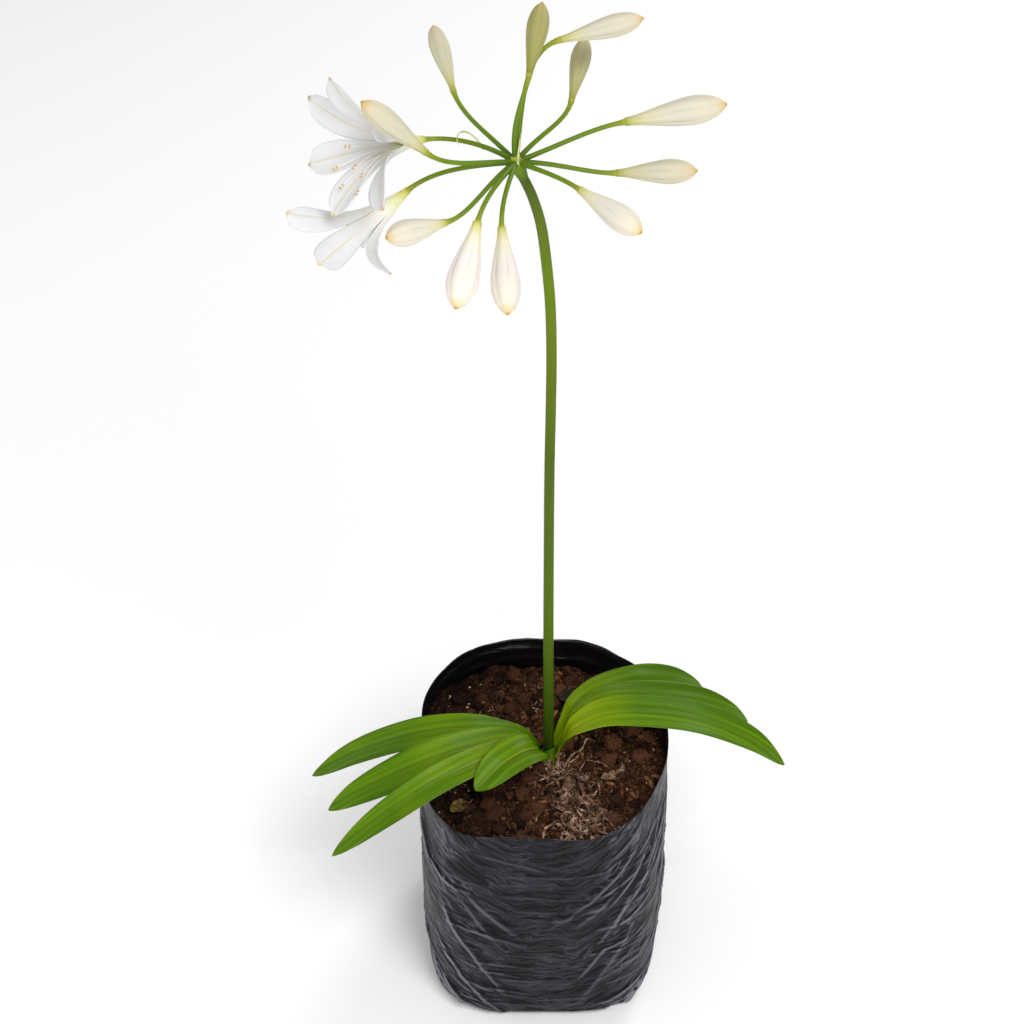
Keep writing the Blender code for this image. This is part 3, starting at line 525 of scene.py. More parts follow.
def scatter_tree():
    """Strew rough grains over the upward faces of a mesh."""
    group = bpy.data.node_groups.new("strewn_grains", "GeometryNodeTree")
    group_input(group, "Geometry", "Ground", None)
    names = {"Density": ("Float", 1e5), "Smallest": ("Float", 0.001), "Largest": ("Float", 0.002),
             "Stretch": ("Vector", (1, 1, 1)), "Facets": ("Int", 1), "Seed": ("Int", 1),
             "Material": ("Material", None)}
    sockets = {name: group_input(group, kind, name, value) for name, (kind, value) in names.items()}
    group.interface.new_socket(name="Grains", in_out="OUTPUT", socket_type="NodeSocketGeometry")
    given = group.nodes.new("NodeGroupInput").outputs
    normal = add(group, "GeometryNodeInputNormal")
    upward = add(group, "ShaderNodeSeparateXYZ", {0: normal}, out=2)
    facing = add(group, "FunctionNodeCompare", {0: upward, 1: 0.25}, operation="GREATER_THAN")
    points = add(group, "GeometryNodeDistributePointsOnFaces",
                 {"Mesh": given["Ground"], "Selection": facing, "Density": given["Density"],
                  "Seed": given["Seed"]})
    size = add(group, "FunctionNodeRandomValue",
               {2: given["Smallest"], 3: given["Largest"], "Seed": given["Seed"]}, out=1)
    scale = add(group, "ShaderNodeVectorMath", {0: given["Stretch"], 3: size}, operation="SCALE")
    turn = add(group, "FunctionNodeRandomValue",
               {0: (-0.5, -0.5, 0.0), 1: (0.5, 0.5, 6.28), "Seed": given["Seed"]}, data_type="FLOAT_VECTOR")
    grain = add(group, "GeometryNodeMeshIcoSphere", {"Radius": 1.0, "Subdivisions": given["Facets"]})
    placed = add(group, "GeometryNodeInstanceOnPoints",
                 {"Points": points, "Instance": grain, "Rotation": turn, "Scale": scale})
    tone = add(group, "FunctionNodeRandomValue", {"Seed": given["Seed"]}, out=1)
    toned = add(group, "GeometryNodeStoreNamedAttribute",
                {"Geometry": placed, "Name": "tone", "Value": tone}, domain="INSTANCE")
    real = add(group, "GeometryNodeRealizeInstances", {"Geometry": toned})
    wobble = add(group, "ShaderNodeTexNoise", {"Scale": 700.0, "Detail": 1.0}, out="Color")
    centred = add(group, "ShaderNodeVectorMath", {0: wobble, 1: (0.5, 0.5, 0.5)}, operation="SUBTRACT")
    push = add(group, "ShaderNodeVectorMath", {0: centred, 3: given["Largest"]}, operation="SCALE")
    rough = add(group, "GeometryNodeSetPosition", {"Geometry": real, "Offset": push})
    coated = add(group, "GeometryNodeSetMaterial", {"Geometry": rough, "Material": given["Material"]})
    out = group.nodes.new("NodeGroupOutput")
    group.links.new(coated, out.inputs[0])
    return group, sockets


def grown(name, source, group, sockets, values):
    """The plain mesh that a node tree makes from an object."""
    modifier = source.modifiers.new(name, "NODES")
    modifier.node_group = group
    for key, value in values.items():
        modifier[sockets[key]] = value
    seen = source.evaluated_get(bpy.context.evaluated_depsgraph_get())
    mesh = bpy.data.meshes.new_from_object(seen)
    source.modifiers.remove(modifier)
    mesh.name = name
    return mesh


scatter, scatter_sockets = scatter_tree()
# The crumbs lie on all but the outermost rings, so none sticks through the film.
first_strewn = len(SOIL_SIDE) + round((1 - STREWN_SHARE) * SOIL_RINGS)
strewn = stand("strewn_ground", skin(soil_rows[first_strewn:-1], caps=(False, False)))
for name, density, sizes, stretch, facets, seed, shades in CRUMBS:
    # Dry crumbs: every one a little lighter or redder than its neighbour.
    crumb, tree, shader = finish(name + "_surface", 0.9, Specular_IOR_Level=0.1)
    tone = kept(tree, "tone")
    place = where(tree)
    shade = ramped(tree, tone, tuple(zip((0.0, 0.6, 1.0), shades)))
    worn = mix(tree, speckle(tree, place, 0.8 * MM), shade, "#1a0f09")
    # all but the pale grit get the painted shadow of the left leaves
    coat(tree, shader, worn if name == "pale_grit" else painted_left_leaf_shadow(tree, place, worn))
    mesh = grown(name, strewn, scatter, scatter_sockets,
                 {"Density": density / MM ** 2, "Smallest": sizes[0] * MM, "Largest": sizes[1] * MM,
                  "Stretch": stretch, "Facets": facets, "Seed": seed, "Material": crumb})
    mesh.shade_smooth()
    grains = bpy.data.objects.new(name, mesh)
    bpy.context.scene.collection.objects.link(grains)
    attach(grains, "root")
bpy.data.objects.remove(strewn)

# Old roots: dry fibrous roots, washed bare, that lie matted in front of the neck, and single
# fibres strewn about the compost. Each is a thin tube drawn along its own wandering path.
TANGLE_MIDDLE = Vector((13, -31, 0)) * MM
TANGLE_REACH = (17 * MM, 22 * MM)
TANGLE_RISE = 6.5 * MM
TANGLE_SPOTS = ((-5, 21), (3, 14), (-4, 5), (2, -2), (9, -4), (6, -12), (14, -10), (10, -18), (1, -19))
PATH_POINTS = 14
# count, lengths, bend and thicknesses of the matted roots and of the finer ones among them
ROOTS = (60, (10, 26), 0.42, (0.45, 1.25))
ROOTLETS = (300, (5, 14), 0.55, (0.12, 0.32))
FIBRE_COUNT = 170
FIBRE_THICKNESSES = (0.09, 0.14, 0.2)


def stem_tree():
    """Turn each spline into a tube of its own radius, with its place along it as an attribute."""
    group = bpy.data.node_groups.new("tube_along_path", "GeometryNodeTree")
    group_input(group, "Geometry", "Paths", None)
    sockets = {"Sides": group_input(group, "Int", "Sides", 6),
               "Material": group_input(group, "Material", "Material", None)}
    group.interface.new_socket(name="Tubes", in_out="OUTPUT", socket_type="NodeSocketGeometry")
    given = group.nodes.new("NodeGroupInput").outputs
    along = add(group, "GeometryNodeSplineParameter")
    marked = add(group, "GeometryNodeStoreNamedAttribute",
                 {"Geometry": given["Paths"], "Name": "along", "Value": along})
    ring = add(group, "GeometryNodeCurvePrimitiveCircle", {"Resolution": given["Sides"], "Radius": 1.0})
    tube = add(group, "GeometryNodeCurveToMesh",
               {"Curve": marked, "Profile Curve": ring, "Fill Caps": True,
                "Scale": add(group, "GeometryNodeInputRadius")})
    real = add(group, "GeometryNodeRealizeInstances", {"Geometry": tube})
    smooth = add(group, "GeometryNodeSetShadeSmooth", {"Geometry": real})
    coated = add(group, "GeometryNodeSetMaterial", {"Geometry": smooth, "Material": given["Material"]})
    out = group.nodes.new("NodeGroupOutput")
    group.links.new(coated, out.inputs[0])
    return group, sockets


tubes, tube_sockets = stem_tree()


def tubes_along(name, paths, sides, material):
    """One mesh of tubes along paths, each a list of points with a list of radii."""
    curve = bpy.data.curves.new(name + "_paths", "CURVE")
    curve.dimensions = "3D"
    for points, radii in paths:
        spline = curve.splines.new("POLY")
        spline.points.add(len(points) - 1)
        for spot, point, radius in zip(spline.points, points, radii):
            spot.co = (*point, 1.0)
            spot.radius = radius
    source = bpy.data.objects.new(name + "_paths", curve)
    bpy.context.scene.collection.objects.link(source)
    mesh = grown(name, source, tubes, tube_sockets, {"Sides": sides, "Material": material})
    bpy.data.objects.remove(source)
    return mesh


def wander(draw, start, heading, length, lift, bend):
    """A path over the compost that turns as it goes and rises up to lift above it."""
    points = []
    x, y = start
    steady = draw.uniform(-bend, bend)
    for k in range(PATH_POINTS):
        room = bag_radius(math.atan2(y, x), SOIL_LEVEL) - 5 * MM
        pull = min(room / math.hypot(x, y), 1.0)
        x, y = x * pull, y * pull
        arch = math.sin(math.pi * k / (PATH_POINTS - 1)) * lift
        points.append(Vector((x, y, ground(x, y) + (0.2 * MM + arch))))
        heading += steady + draw.uniform(-bend, bend)
        x += length / (PATH_POINTS - 1) * math.cos(heading)
        y += length / (PATH_POINTS - 1) * math.sin(heading)
    return points


def matted(draw, count, lengths, bend, thickness):
    """Root paths heaped over the spots of the tangle."""
    paths = []
    for _ in range(count):
        spot = draw.choice(TANGLE_SPOTS)
        start = (TANGLE_MIDDLE.x + (spot[0] + draw.gauss(0, 3.2)) * MM,
                 TANGLE_MIDDLE.y + (spot[1] + draw.gauss(0, 3.2)) * MM)
        lift = draw.random() ** 1.5 * TANGLE_RISE
        path = wander(draw, start, draw.uniform(0, 2 * math.pi), draw.uniform(*lengths) * MM, lift, bend)
        thick = draw.uniform(*thickness) * MM
        knots = [thick * (1 - 0.4 * k / PATH_POINTS) * draw.uniform(0.7, 1.25) for k in range(PATH_POINTS)]
        paths.append((path, knots))
    return paths


draw = random.Random(8)
tangle_paths = matted(draw, *ROOTS)
tangle_paths += matted(draw, *ROOTLETS)

# Dead fibrous root: pale tan where it has split and dried, brown where soil still clings.
dry_root, tree, shader = finish("dry_fibrous_root", 0.85, Specular_IOR_Level=0.3)
place = where(tree)
clinging = speckle(tree, place, 5 * MM, 4.0, 0.6)
coat(tree, shader, ramped(tree, clinging, ((0.36, "#2c1c12"), (0.5, "#7d5b46"), (0.64, "#cfae96"))))
grit = speckle(tree, place, 0.7 * MM, 4.0, 0.7)
bump(tree, shader, grit, 0.9, 0.4 * MM)
tangle = stand("root_tangle", tubes_along("root_tangle", tangle_paths, 5, dry_root))
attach(tangle, "root")
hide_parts("dry_root_tangle")

fibre_paths = []
for k in range(FIBRE_COUNT):
    turn = draw.uniform(0, 2 * math.pi)
    out = 12 * MM + 44 * MM * draw.random() ** 0.6
    start = (out * math.cos(turn), out * math.sin(turn))
    path = wander(draw, start, draw.uniform(0, 6.28), draw.uniform(3, 9) * MM, draw.uniform(0, 0.8) * MM, 0.4)
    fibre_paths.append((path, [draw.choice(FIBRE_THICKNESSES) * MM] * PATH_POINTS))
fibres = stand("loose_fibres", tubes_along("loose_fibres", fibre_paths, 4, dry_root))
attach(fibres, "root")

# Bark and leaf litter: a dark flake of bark, a tan shard of it that has dried into a curl, and a
# scrap of dead leaf. Each is one thin bent sheet with ragged ends.
# name, node, slot, turn, length, width, bend, curl, waist, shades
LITTER = (
    ("bark_flake_dark", "bark_chip_1", "dark_bark", 20, 15.5, 10, 1.0, 0.6, 0.0,
     ("#0d0806", "#231913", "#3a2b22")),
    ("bark_shard_tan", "bark_chip_2", "tan_bark", 44, 17, 5.0, 3.6, 3.2, 0.8,
     ("#3a271b", "#7b5e48", "#b99c82")),
    ("dead_leaf_scrap", "leaf_scrap", "dead_leaf", 60, 11, 7, 0.8, 1.4, 0.2,
     ("#2a1f0b", "#5a481a", "#94793a")),
)
FLAKE_ROWS = 30
FLAKE_SIDES = 28
for name, node, slot, turn, length, width, bend, curl, waist, shades in LITTER:
    # Weathered flake: its grain runs one way and breaks up at the edges.
    flake, tree, shader = finish(name + "_surface", 0.85, Specular_IOR_Level=0.3)
    place = where(tree)
    strands = speckle(tree, place, 1.6 * MM, 5.0, 0.65, (0.7, 1.2, 1))
    coat(tree, shader, ramped(tree, strands, tuple(zip((0.32, 0.5, 0.66), shades))))
    bump(tree, shader, strands, 0.8, 0.6 * MM)
    low, high = (Vector(corner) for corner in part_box(node))
    centre = (low + high) / 2
    spin = Matrix.Rotation(math.radians(turn), 3, "Z")
    rows = []
    for row in range(FLAKE_ROWS + 1):
        u = 2 * row / FLAKE_ROWS - 1
        ends = max(1 - abs(u) ** 2.4, 0.0) ** 0.6 * (1 - waist * u * 0.5)
        ragged = 1 + 0.6 * noise.noise(Vector((u * 5, turn, 0)))
        half = max(width / 2 * ends * ragged, 0.15)
        ring = []
        for k in range(FLAKE_SIDES):
            v = math.cos(2 * math.pi * k / FLAKE_SIDES)
            thick = 0.22 * math.sin(2 * math.pi * k / FLAKE_SIDES)
            lift = curl * (v * v * ends + 0.5 * u * u) - 0.5 * curl * u
            lift += 0.8 * noise.noise(Vector((u * 2.5, v * 1.5, turn)))
            flat = Vector((u * length / 2, v * half + bend * (u * u - 0.4), lift + thick))
            ring.append(spin @ (flat * MM) + centre)
        rows.append(ring)
    scrap = stand(name, skin(rows), flake)
    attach(scrap, "root")
    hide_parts(node)

# The rootstock: a short rhizome and its fleshy roots, in the compost where they can't be seen.
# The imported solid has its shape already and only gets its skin.
root_skin, tree, shader = finish("fleshy_root_skin", 0.7)
place = where(tree)
coat(tree, shader, ramped(tree, speckle(tree, place, 6 * MM, 4.0), ((0.3, "#8d7450"), (0.7, "#d8c7a2"))))
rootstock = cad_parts["rootstock"]
rootstock.data.materials.clear()
rootstock.data.materials.append(root_skin)

# The neck: the clasping bases of the leaves, wrapped over each other into a short green sheath
# round the flower stem. Each base is a thin wall that ends in a free edge.
NECK_HEIGHT = 19 * MM
NECK_SHAPE = ((0, 1.0), (0.35, 1.02), (0.65, 0.98), (0.85, 0.86), (1.0, 0.72))
SCAPE_RADIUS = 2.8 * MM
WRAP_EDGES = 2
NECK_SLOPE = 0.3
NECK_TURN = 45
NECK_COLUMNS = 72
NECK_ROWS = 28


def neck_point(angle, t, radius):
    """A point of the neck: its top slopes down to the front left, where the lowest leaf opens."""
    top = 1 - NECK_SLOPE * (0.5 - 0.5 * math.cos(angle + math.radians(NECK_TURN)))
    height = NECK_BOTTOM + NECK_HEIGHT * top * t
    return STEM_FOOT + Vector((radius * math.cos(angle), radius * math.sin(angle), height))


neck_rows = []
turns = [2 * math.pi * k / NECK_COLUMNS for k in range(NECK_COLUMNS)]
for t in [k / NECK_ROWS for k in range(NECK_ROWS + 1)]:
    ring = []
    for angle in turns:
        wrap = (WRAP_EDGES * angle / (2 * math.pi) + 0.35 * t + 0.15) % 1.0
        ring.append(neck_point(angle, t, NECK_RADIUS * (eased(NECK_SHAPE, t) - 0.06 + 0.1 * wrap ** 4)))
    neck_rows.append(ring)
neck_rows += [[neck_point(angle, t, SCAPE_RADIUS + gap * MM) for angle in turns]
              for t, gap in ((0.99, 0.5), (0.9, 0.15), (0.0, 0.15))]
neck_mesh = skin(neck_rows, caps=(False, False))

# Fresh leaf sheath: pale yellow-green low down where the light doesn't reach, waxy all over.
sheath, tree, shader = finish("fresh_leaf_sheath", 0.42, Specular_IOR_Level=0.16)
place = where(tree)
height = add(tree, "ShaderNodeSeparateXYZ", {0: place}, out=2)
up = remap(tree, height, 146 * MM, 158 * MM)
lines = speckle(tree, place, 1.2 * MM, 3.0, 0.5, (1, 1, 0.05))
coat(tree, shader, mix(tree, lines, mix(tree, up, "#47660c", "#33560a"), mix(tree, up, "#6d8c24", "#4f7a10")))
neck = stand("leaf_sheath", neck_mesh, sheath)
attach(neck, "root")
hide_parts("leaf_sheath_neck")

# The leaves: thin straps that arch out of the neck to both sides. Each is a shallow channel with
# a keel under its midrib, thick in the middle and fine at its edges, drawn out to a blunt tip.
# name, node, yellow near the neck (partly own colour, partly painted light), azimuth, base turn, midrib as
# (reach, height), width, roll, channel, pleats
LEAVES = (
    ("strap_leaf_left_1", "leaf_left_1", 0.0, 177, -58,
     ((5.9, 150), (12, 159), (17, 163), (25, 165.5), (43, 167.5), (69, 162), (100, 145), (125, 124.5)),
     17.5, -16, 1.4, 0.3),
    ("strap_leaf_left_2", "leaf_left_2", 0.15, 195, -14,
     ((5.9, 151.5), (11.3, 161), (16, 165), (24, 167.7), (44, 168.5), (65, 165), (82, 159), (101, 151),
      (117, 142)), 20, -16, 1.4, 1.4),
    ("strap_leaf_left_3", "leaf_left_3", 0.45, 208, 18,
     ((5.8, 153), (10.5, 163), (15, 166.7), (24, 169.3), (46, 168.7), (69, 165), (94, 155.5), (112, 147),
      (124, 140.5)), 16, -14, 1.2, 2.2),
    ("strap_leaf_left_4", "leaf_left_4", 0.1, 224, 44,
     ((5.5, 155), (9.5, 164.5), (13, 168.8), (21, 172.3), (33, 172.6), (43, 169.6), (52, 165.5)),
     20, -10, 1.2, 3.1),
    ("strap_leaf_right_1", "leaf_right_1", 0.45, 25, 62,
     ((6.3, 149.5), (12.8, 163.5), (18, 174), (31, 182), (53, 181.5), (72, 173.5), (86, 163), (92, 156)),
     20, 14, 1.4, 4.4),
    ("strap_leaf_right_2", "leaf_right_2", 0.3, 9, 0,
     ((5.8, 151.5), (11, 166.5), (16, 176), (30, 185.5), (53, 184.5), (79, 177.5), (96, 167), (106, 157)),
     19, 14, 1.4, 5.3),
    ("strap_leaf_right_3", "leaf_right_3", 0.85, -6, -46,
     ((5.6, 153.5), (9.4, 168), (14, 177.5), (29, 188), (52, 190.5), (78, 187.5), (104, 174.5), (122, 157)),
     18.5, 14, 1.4, 6.1),
)
LEAF_SHAPE = ((0, 0.3), (0.07, 0.38), (0.15, 0.58), (0.26, 0.85), (0.42, 1.0), (0.6, 0.98), (0.75, 0.86),
              (0.87, 0.64), (0.95, 0.36), (0.985, 0.16), (1, 0.02))
NECK_FADE = 10 * MM
LEAF_ROWS = 90
LEAF_COLUMNS = 24
LEAF_THICK = (0.62 * MM, 0.2 * MM)
VEIN_GAP = 0.9


def direction(azimuth, elevation):
    """The unit vector of an azimuth and an elevation in degrees."""
    turn = math.radians(azimuth)
    lift = math.radians(elevation)
    return Vector((math.cos(lift) * math.cos(turn), math.cos(lift) * math.sin(turn), math.sin(lift)))


def smooth_line(points, steps):
    """Points read evenly from a Catmull-Rom curve through the given ones."""
    points = [Vector(point) for point in points]
    ends = [2 * points[0] - points[1]] + points + [2 * points[-1] - points[-2]]
    dense = []
    for a, b, c, d in zip(ends, ends[1:], ends[2:], ends[3:]):
        for k in range(24):
            t = k / 24
            dense.append(0.5 * (2 * b + (c - a) * t + (2 * a - 5 * b + 4 * c - d) * t * t
                                + (3 * b - 3 * c + d - a) * t * t * t))
    dense.append(points[-1])
    lengths = [0.0]
    for a, b in zip(dense, dense[1:]):
        lengths.append(lengths[-1] + (b - a).length)
    line = []
    index = 0
    for k in range(steps + 1):
        goal = lengths[-1] * k / steps
        while index < len(dense) - 2 and lengths[index + 1] < goal:
            index += 1
        span = lengths[index + 1] - lengths[index]
        line.append(dense[index].lerp(dense[index + 1], (goal - lengths[index]) / span))
    return line


def tangents(line):
    """The unit direction of a line at each of its points."""
    return [(line[min(k + 1, len(line) - 1)] - line[max(k - 1, 0)]).normalized() for k in range(len(line))]


def leaf_mesh(sunned, azimuth, base_turn, midrib, width, roll, channel, pleats):
    """One strap leaf: its upper face and its keeled underside as a closed skin."""
    line = []
    for reach, height in midrib:
        bearing = azimuth + base_turn * math.exp(-reach * MM / NECK_FADE)
        point = direction(bearing, 0) * reach * MM + STEM_FOOT
        line.append(Vector((point.x, point.y, height * MM)))
    line = smooth_line(line, LEAF_ROWS)
    rows = []
    along = []
    across_marks = []
    rim = []
    length = sum((b - a).length for a, b in zip(line, line[1:]))
    for k, (point, way) in enumerate(zip(line, tangents(line))):
        t = k / LEAF_ROWS
        turn = Matrix.Rotation(math.radians(roll) * min(t / 0.25, 1.0), 3, way)
        across = turn @ Vector((0, 0, 1)).cross(way).normalized()
        up = way.cross(across).normalized()
        share = eased(LEAF_SHAPE, t)
        half = share * width / 2 * MM
        clasp = max(1 - t / 0.14, 0.0)
        cup = share * channel * MM + clasp * half * half / (2 * NECK_RADIUS)
        ring = []
        for j in range(2 * LEAF_COLUMNS):
            top = j <= LEAF_COLUMNS
            c = 2 * j / LEAF_COLUMNS - 1 if top else 3 - 2 * j / LEAF_COLUMNS
            groove = 0.5 * math.exp(-(c / 0.09) ** 2)
            folds = 0.2 * math.sin(7 * c + pleats + 2 * t)
            folds += 0.5 * noise.noise(Vector((c * 2.2, t * 4, pleats)))
            lift = cup * c * c + (folds - groove) * share * min(t / 0.15, 1.0) * MM
            ripple = 0.35 * MM * share * c ** 4 * math.sin(9 * t + pleats * 3)
            spot = point + across * half * c + up * (lift + ripple)
            if not top:
                spot -= up * (LEAF_THICK[1] + (LEAF_THICK[0] - LEAF_THICK[1]) * (1 - c * c)) * max(share, 0.3)
            ring.append(spot)
            along.append(t * length / MM)
            across_marks.append(c * half / MM)
            rim.append(abs(c))
        rows.append(ring)
    mesh = skin(rows)
    mark(mesh, along=along, across=across_marks, rim=rim, sunned=[sunned] * len(rim))
    return mesh


# Living strap leaf: waxy and half glossy, deep green with fine parallel veins a millimetre apart, yellower
# along the midrib near the neck. Near the neck each leaf is yellower by its own amount, partly its own colour
# and partly painted light for the light that comes through it.
blade, tree, shader = finish("living_strap_leaf", 0.36, Specular_IOR_Level=0.14)
along = kept(tree, "along")
across = kept(tree, "across")
rim = kept(tree, "rim")
place = where(tree)
streak_at = add(tree, "ShaderNodeCombineXYZ", {0: across, 1: along})
fine_streaks = speckle(tree, streak_at, 0.8, 3.0, 0.6, (1, 0.008, 1))
broad_streaks = speckle(tree, streak_at, 3.2, 2.0, 0.5, (1, 0.02, 1))
patches = speckle(tree, place, 40 * MM, 1.0)
green = ramped(tree, broad_streaks, ((0.34, "#3f6200"), (0.52, "#507600"), (0.68, "#668b05")))
green = mix(tree, remap(tree, fine_streaks, 0.35, 0.7, 0.0, 0.35), green, "#2f5300")
green = mix(tree, remap(tree, patches, 0.55, 0.75, 0.0, 0.25), green, "#84a008")
midrib = remap(tree, maths(tree, "ABSOLUTE", across), 0.15, 0.8, 1.0, 0.0)
gold = maths(tree, "MULTIPLY", midrib, remap(tree, along, 12.0, 60.0, 0.65, 0.08))
# yellower near the neck by each leaf's own amount: partly its own colour, partly painted light
sunned = kept(tree, "sunned")
fade = remap(tree, along, 22.0, 62.0, 1.0, 0.0)
green = mix(tree, maths(tree, "MULTIPLY", fade, sunned), green, "#8fa50a")
edge = remap(tree, rim, 0.96, 1.0, 0.0, 0.5)
coat(tree, shader, mix(tree, edge, mix(tree, gold, green, "#a3ae1c"), "#97ab3c"))
veins = maths(tree, "SINE", maths(tree, "MULTIPLY", across, 2 * math.pi / VEIN_GAP))
relief = maths(tree, "ADD", veins, maths(tree, "MULTIPLY", fine_streaks, 3.0))
bump(tree, shader, relief, 0.35, 0.1 * MM)

for name, node, *shape in LEAVES:
    leaf = stand(name, leaf_mesh(*shape), blade)
    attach(leaf, "root")
    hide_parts(node)

# The flower stem: one bare round stem that grows out of the neck and leans to the left as it
# nears the head.
SCAPE_LINE = ((2.3, -0.6, 139.4), (2.3, -0.6, 177), (1.5, -1.4, 230), (0.9, -2.6, 293), (0.5, -4.2, 352),
              (0.6, -5.6, 394), (0.5, -6.8, 424), (-0.3, -8.0, 452), (-2.1, -9.2, 475), (-4.6, -10.2, 496),
              (-8.2, -11.1, 511), (-12.0, -11.7, 521))
SCAPE_TAPER = ((0, 1.0), (0.2, 0.93), (0.6, 0.84), (0.9, 0.8), (1, 0.72))
SCAPE_STEPS = 120
scape_line = smooth_line([Vector(point) * MM for point in SCAPE_LINE], SCAPE_STEPS)

# Living flower stem: smooth and waxy, deep green above the neck, with painted shade of the leaves darkening
# its foot to nearly black, and greyer towards the head.
stem_skin, tree, shader = finish("living_flower_stem", 0.42, Specular_IOR_Level=0.1)
along = kept(tree, "along")
place = where(tree)
# the darkest greens at the foot, among the leaves, are painted shade
tone = ramped(tree, along,
              ((0.0, "#0f2a00"), (0.12, "#152f00"), (0.22, "#334e01"), (0.3, "#435d00"), (0.58, "#415405"),
               (0.85, "#607609"), (0.93, "#566814"), (1.0, "#41521a")))
lines = speckle(tree, place, 1.0 * MM, 4.0, 0.6, (1, 1, 0.03))
coat(tree, shader, mix(tree, remap(tree, lines, 0.0, 1.0, 0.0, 0.24), tone, "#7a9320"))
bump(tree, shader, lines, 0.3, 0.15 * MM)
scape_radii = [SCAPE_RADIUS * eased(SCAPE_TAPER, k / SCAPE_STEPS) for k in range(SCAPE_STEPS + 1)]
scape = stand("bare_flower_stem", tubes_along("bare_flower_stem", [(scape_line, scape_radii)], 28, stem_skin))
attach(scape, "root")
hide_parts("flower_scape")

# The stalks of the head: thirteen thin stalks that spread from the end of the stem, each a
# little swollen where it carries its bud or flower.
HUB = Vector((-14.9, -12, 528.7)) * MM
HUB_RADIUS = 3.2 * MM
PEDICEL_RADIUS = 1.0 * MM
HUB_TAPER = ((0, 0.66), (0.3, 0.85), (0.6, 1.0), (0.85, 0.8), (1, 0.35))
HUB_STEPS = 12
STALK_STEPS = 26
# how far each end of a stalk holds its direction, as a share of the stalk's chord
STALK_PULL = (0.42, 0.3)
# each bud: a stalk, a length, a width, and its mix towards darker green, partly youth and partly painted
# shade
# azimuth, reach and rise of the end, azimuth and elevation of the start and of the end's aim
BUDS = (
    ((124, 45.5, 8.8, 124, 8, 106, 20), 33, 8.4, 0.58),
    ((60, 10.0, 34.5, 118, 66, 80, 25), 33, 8.6, 1.0),
    ((60, 34.6, 36.9, 78, 58, 8, 12), 33.5, 9.0, 0.46),
    ((54, 38.0, 8.5, 52, 22, 78, 21), 31, 8.2, 0.86),
    ((15, 45.0, 11.0, 18, 12, 4, 9), 40, 11.4, 0.4),
    ((-3, 40.0, -3.8, 0, 0, 0, 2), 31.5, 9.8, 0.53),
    ((-38, 31.5, 0.4, -38, 6, -46, -5), 33, 10.4, 0.2),
    ((-98.5, 37.5, -5.0, -98, 12, -86, -25), 36.5, 11.4, 0.1),
    ((-111, 41.5, -1.2, -107, 14, -104, -26), 36.5, 12.2, 0.0),
    ((-139, 36.6, -11.8, -137, -6, -150, 5), 26, 10.4, 0.3),
    ((198, 36.8, 12.4, 196, 12, 186, 46), 34, 9.6, 0.5),
)
# stalk, tepals, stamens, style: each a turn round the flower, a reach along it and a spread, and
# for a tepal also its twist
FLOWERS = (
    ((155, 41.2, -1.3, 155, 20, 220, 18),
     ((-141, 38, 28, 0), (-88, 40, 29, 0), (-26, 39, 30, 0), (65, 40, 20, 0), (122, 43, 27.8, 0),
      (167, 37, 32, 0)),
     ((-158, 34, 5.3), (-78, 34, 7.8), (-54, 34, 11), (-94, 36, 17.4), (-61, 36, 17.5), (-120, 36, 14)),
     (-108, 37, 9.5)),
    ((180, 43.5, -13.9, 182, -4, 192, -39),
     ((-145, 33, 15, 0), (-80, 25, 10, 0), (-35, 25, 23, 0), (32, 40, 26, 0), (95, 41, 27, -40),
      (140, 36, 17, 0)),
     ((30, 28, 4.5), (90, 29, 4), (150, 28, 4.5), (210, 30, 4), (270, 28, 4.5), (330, 30, 4)),
     (40, 32, 2)),
)


def stalk_path(stalk):
    """The curve of one stalk from the hub to its end, and the way that its end points."""
    azimuth, reach, rise, start_azimuth, start_elevation, aim_azimuth, aim_elevation = stalk
    end = HUB + direction(azimuth, 0) * reach * MM + Vector((0, 0, rise * MM))
    aim = direction(aim_azimuth, aim_elevation)
    chord = (end - HUB).length
    first = HUB + direction(start_azimuth, start_elevation) * chord * STALK_PULL[0]
    last = end - aim * chord * STALK_PULL[1]
    path = []
    for k in range(STALK_STEPS + 1):
        t = k / STALK_STEPS
        path.append(HUB * (1 - t) ** 3 + first * 3 * t * (1 - t) ** 2
                    + last * 3 * t * t * (1 - t) + end * t ** 3)
    return path, aim


STALK_TAPER = ((0, 1.3), (0.12, 1.05), (0.8, 0.95), (0.93, 1.05), (1, 1.4))
stalk_paths = []
for stalk in [bud[0] for bud in BUDS] + [flower[0] for flower in FLOWERS]:
    path, aim = stalk_path(stalk)
    radii = [PEDICEL_RADIUS * eased(STALK_TAPER, k / STALK_STEPS) for k in range(STALK_STEPS + 1)]
    stalk_paths.append((path, radii))
hub_way = (scape_line[-1] - scape_line[-3]).normalized()
hub_path = [scape_line[-1], scape_line[-1].lerp(HUB, 0.5), HUB,
            HUB + hub_way * 1.6 * MM, HUB + hub_way * 2.6 * MM]
hub_radii = [HUB_RADIUS * eased(HUB_TAPER, k / HUB_STEPS) for k in range(HUB_STEPS + 1)]
stalk_paths.append((smooth_line(hub_path, HUB_STEPS), hub_radii))

# Living stalk: yellow-green, brighter towards the bud.
stalk_skin, tree, shader = finish("living_flower_stalk", 0.42, Specular_IOR_Level=0.16)
along = kept(tree, "along")
place = where(tree)
tone = ramped(tree, along, ((0.0, "#47650b"), (0.25, "#5f7c12"), (0.8, "#71881a"), (0.96, "#8f9a2c"),
                            (1.0, "#b9b64e")))
mottle = speckle(tree, place, 1.2 * MM, 4.0, 0.6)
coat(tree, shader, mix(tree, remap(tree, mottle, 0.0, 1.0, 0.0, 0.4), tone, "#3c5a08"))
bump(tree, shader, mottle, 0.25, 0.1 * MM)
stalks = stand("spreading_stalks", tubes_along("spreading_stalks", stalk_paths, 14, stalk_skin))
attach(stalks, "root")
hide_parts("umbel_stalks")

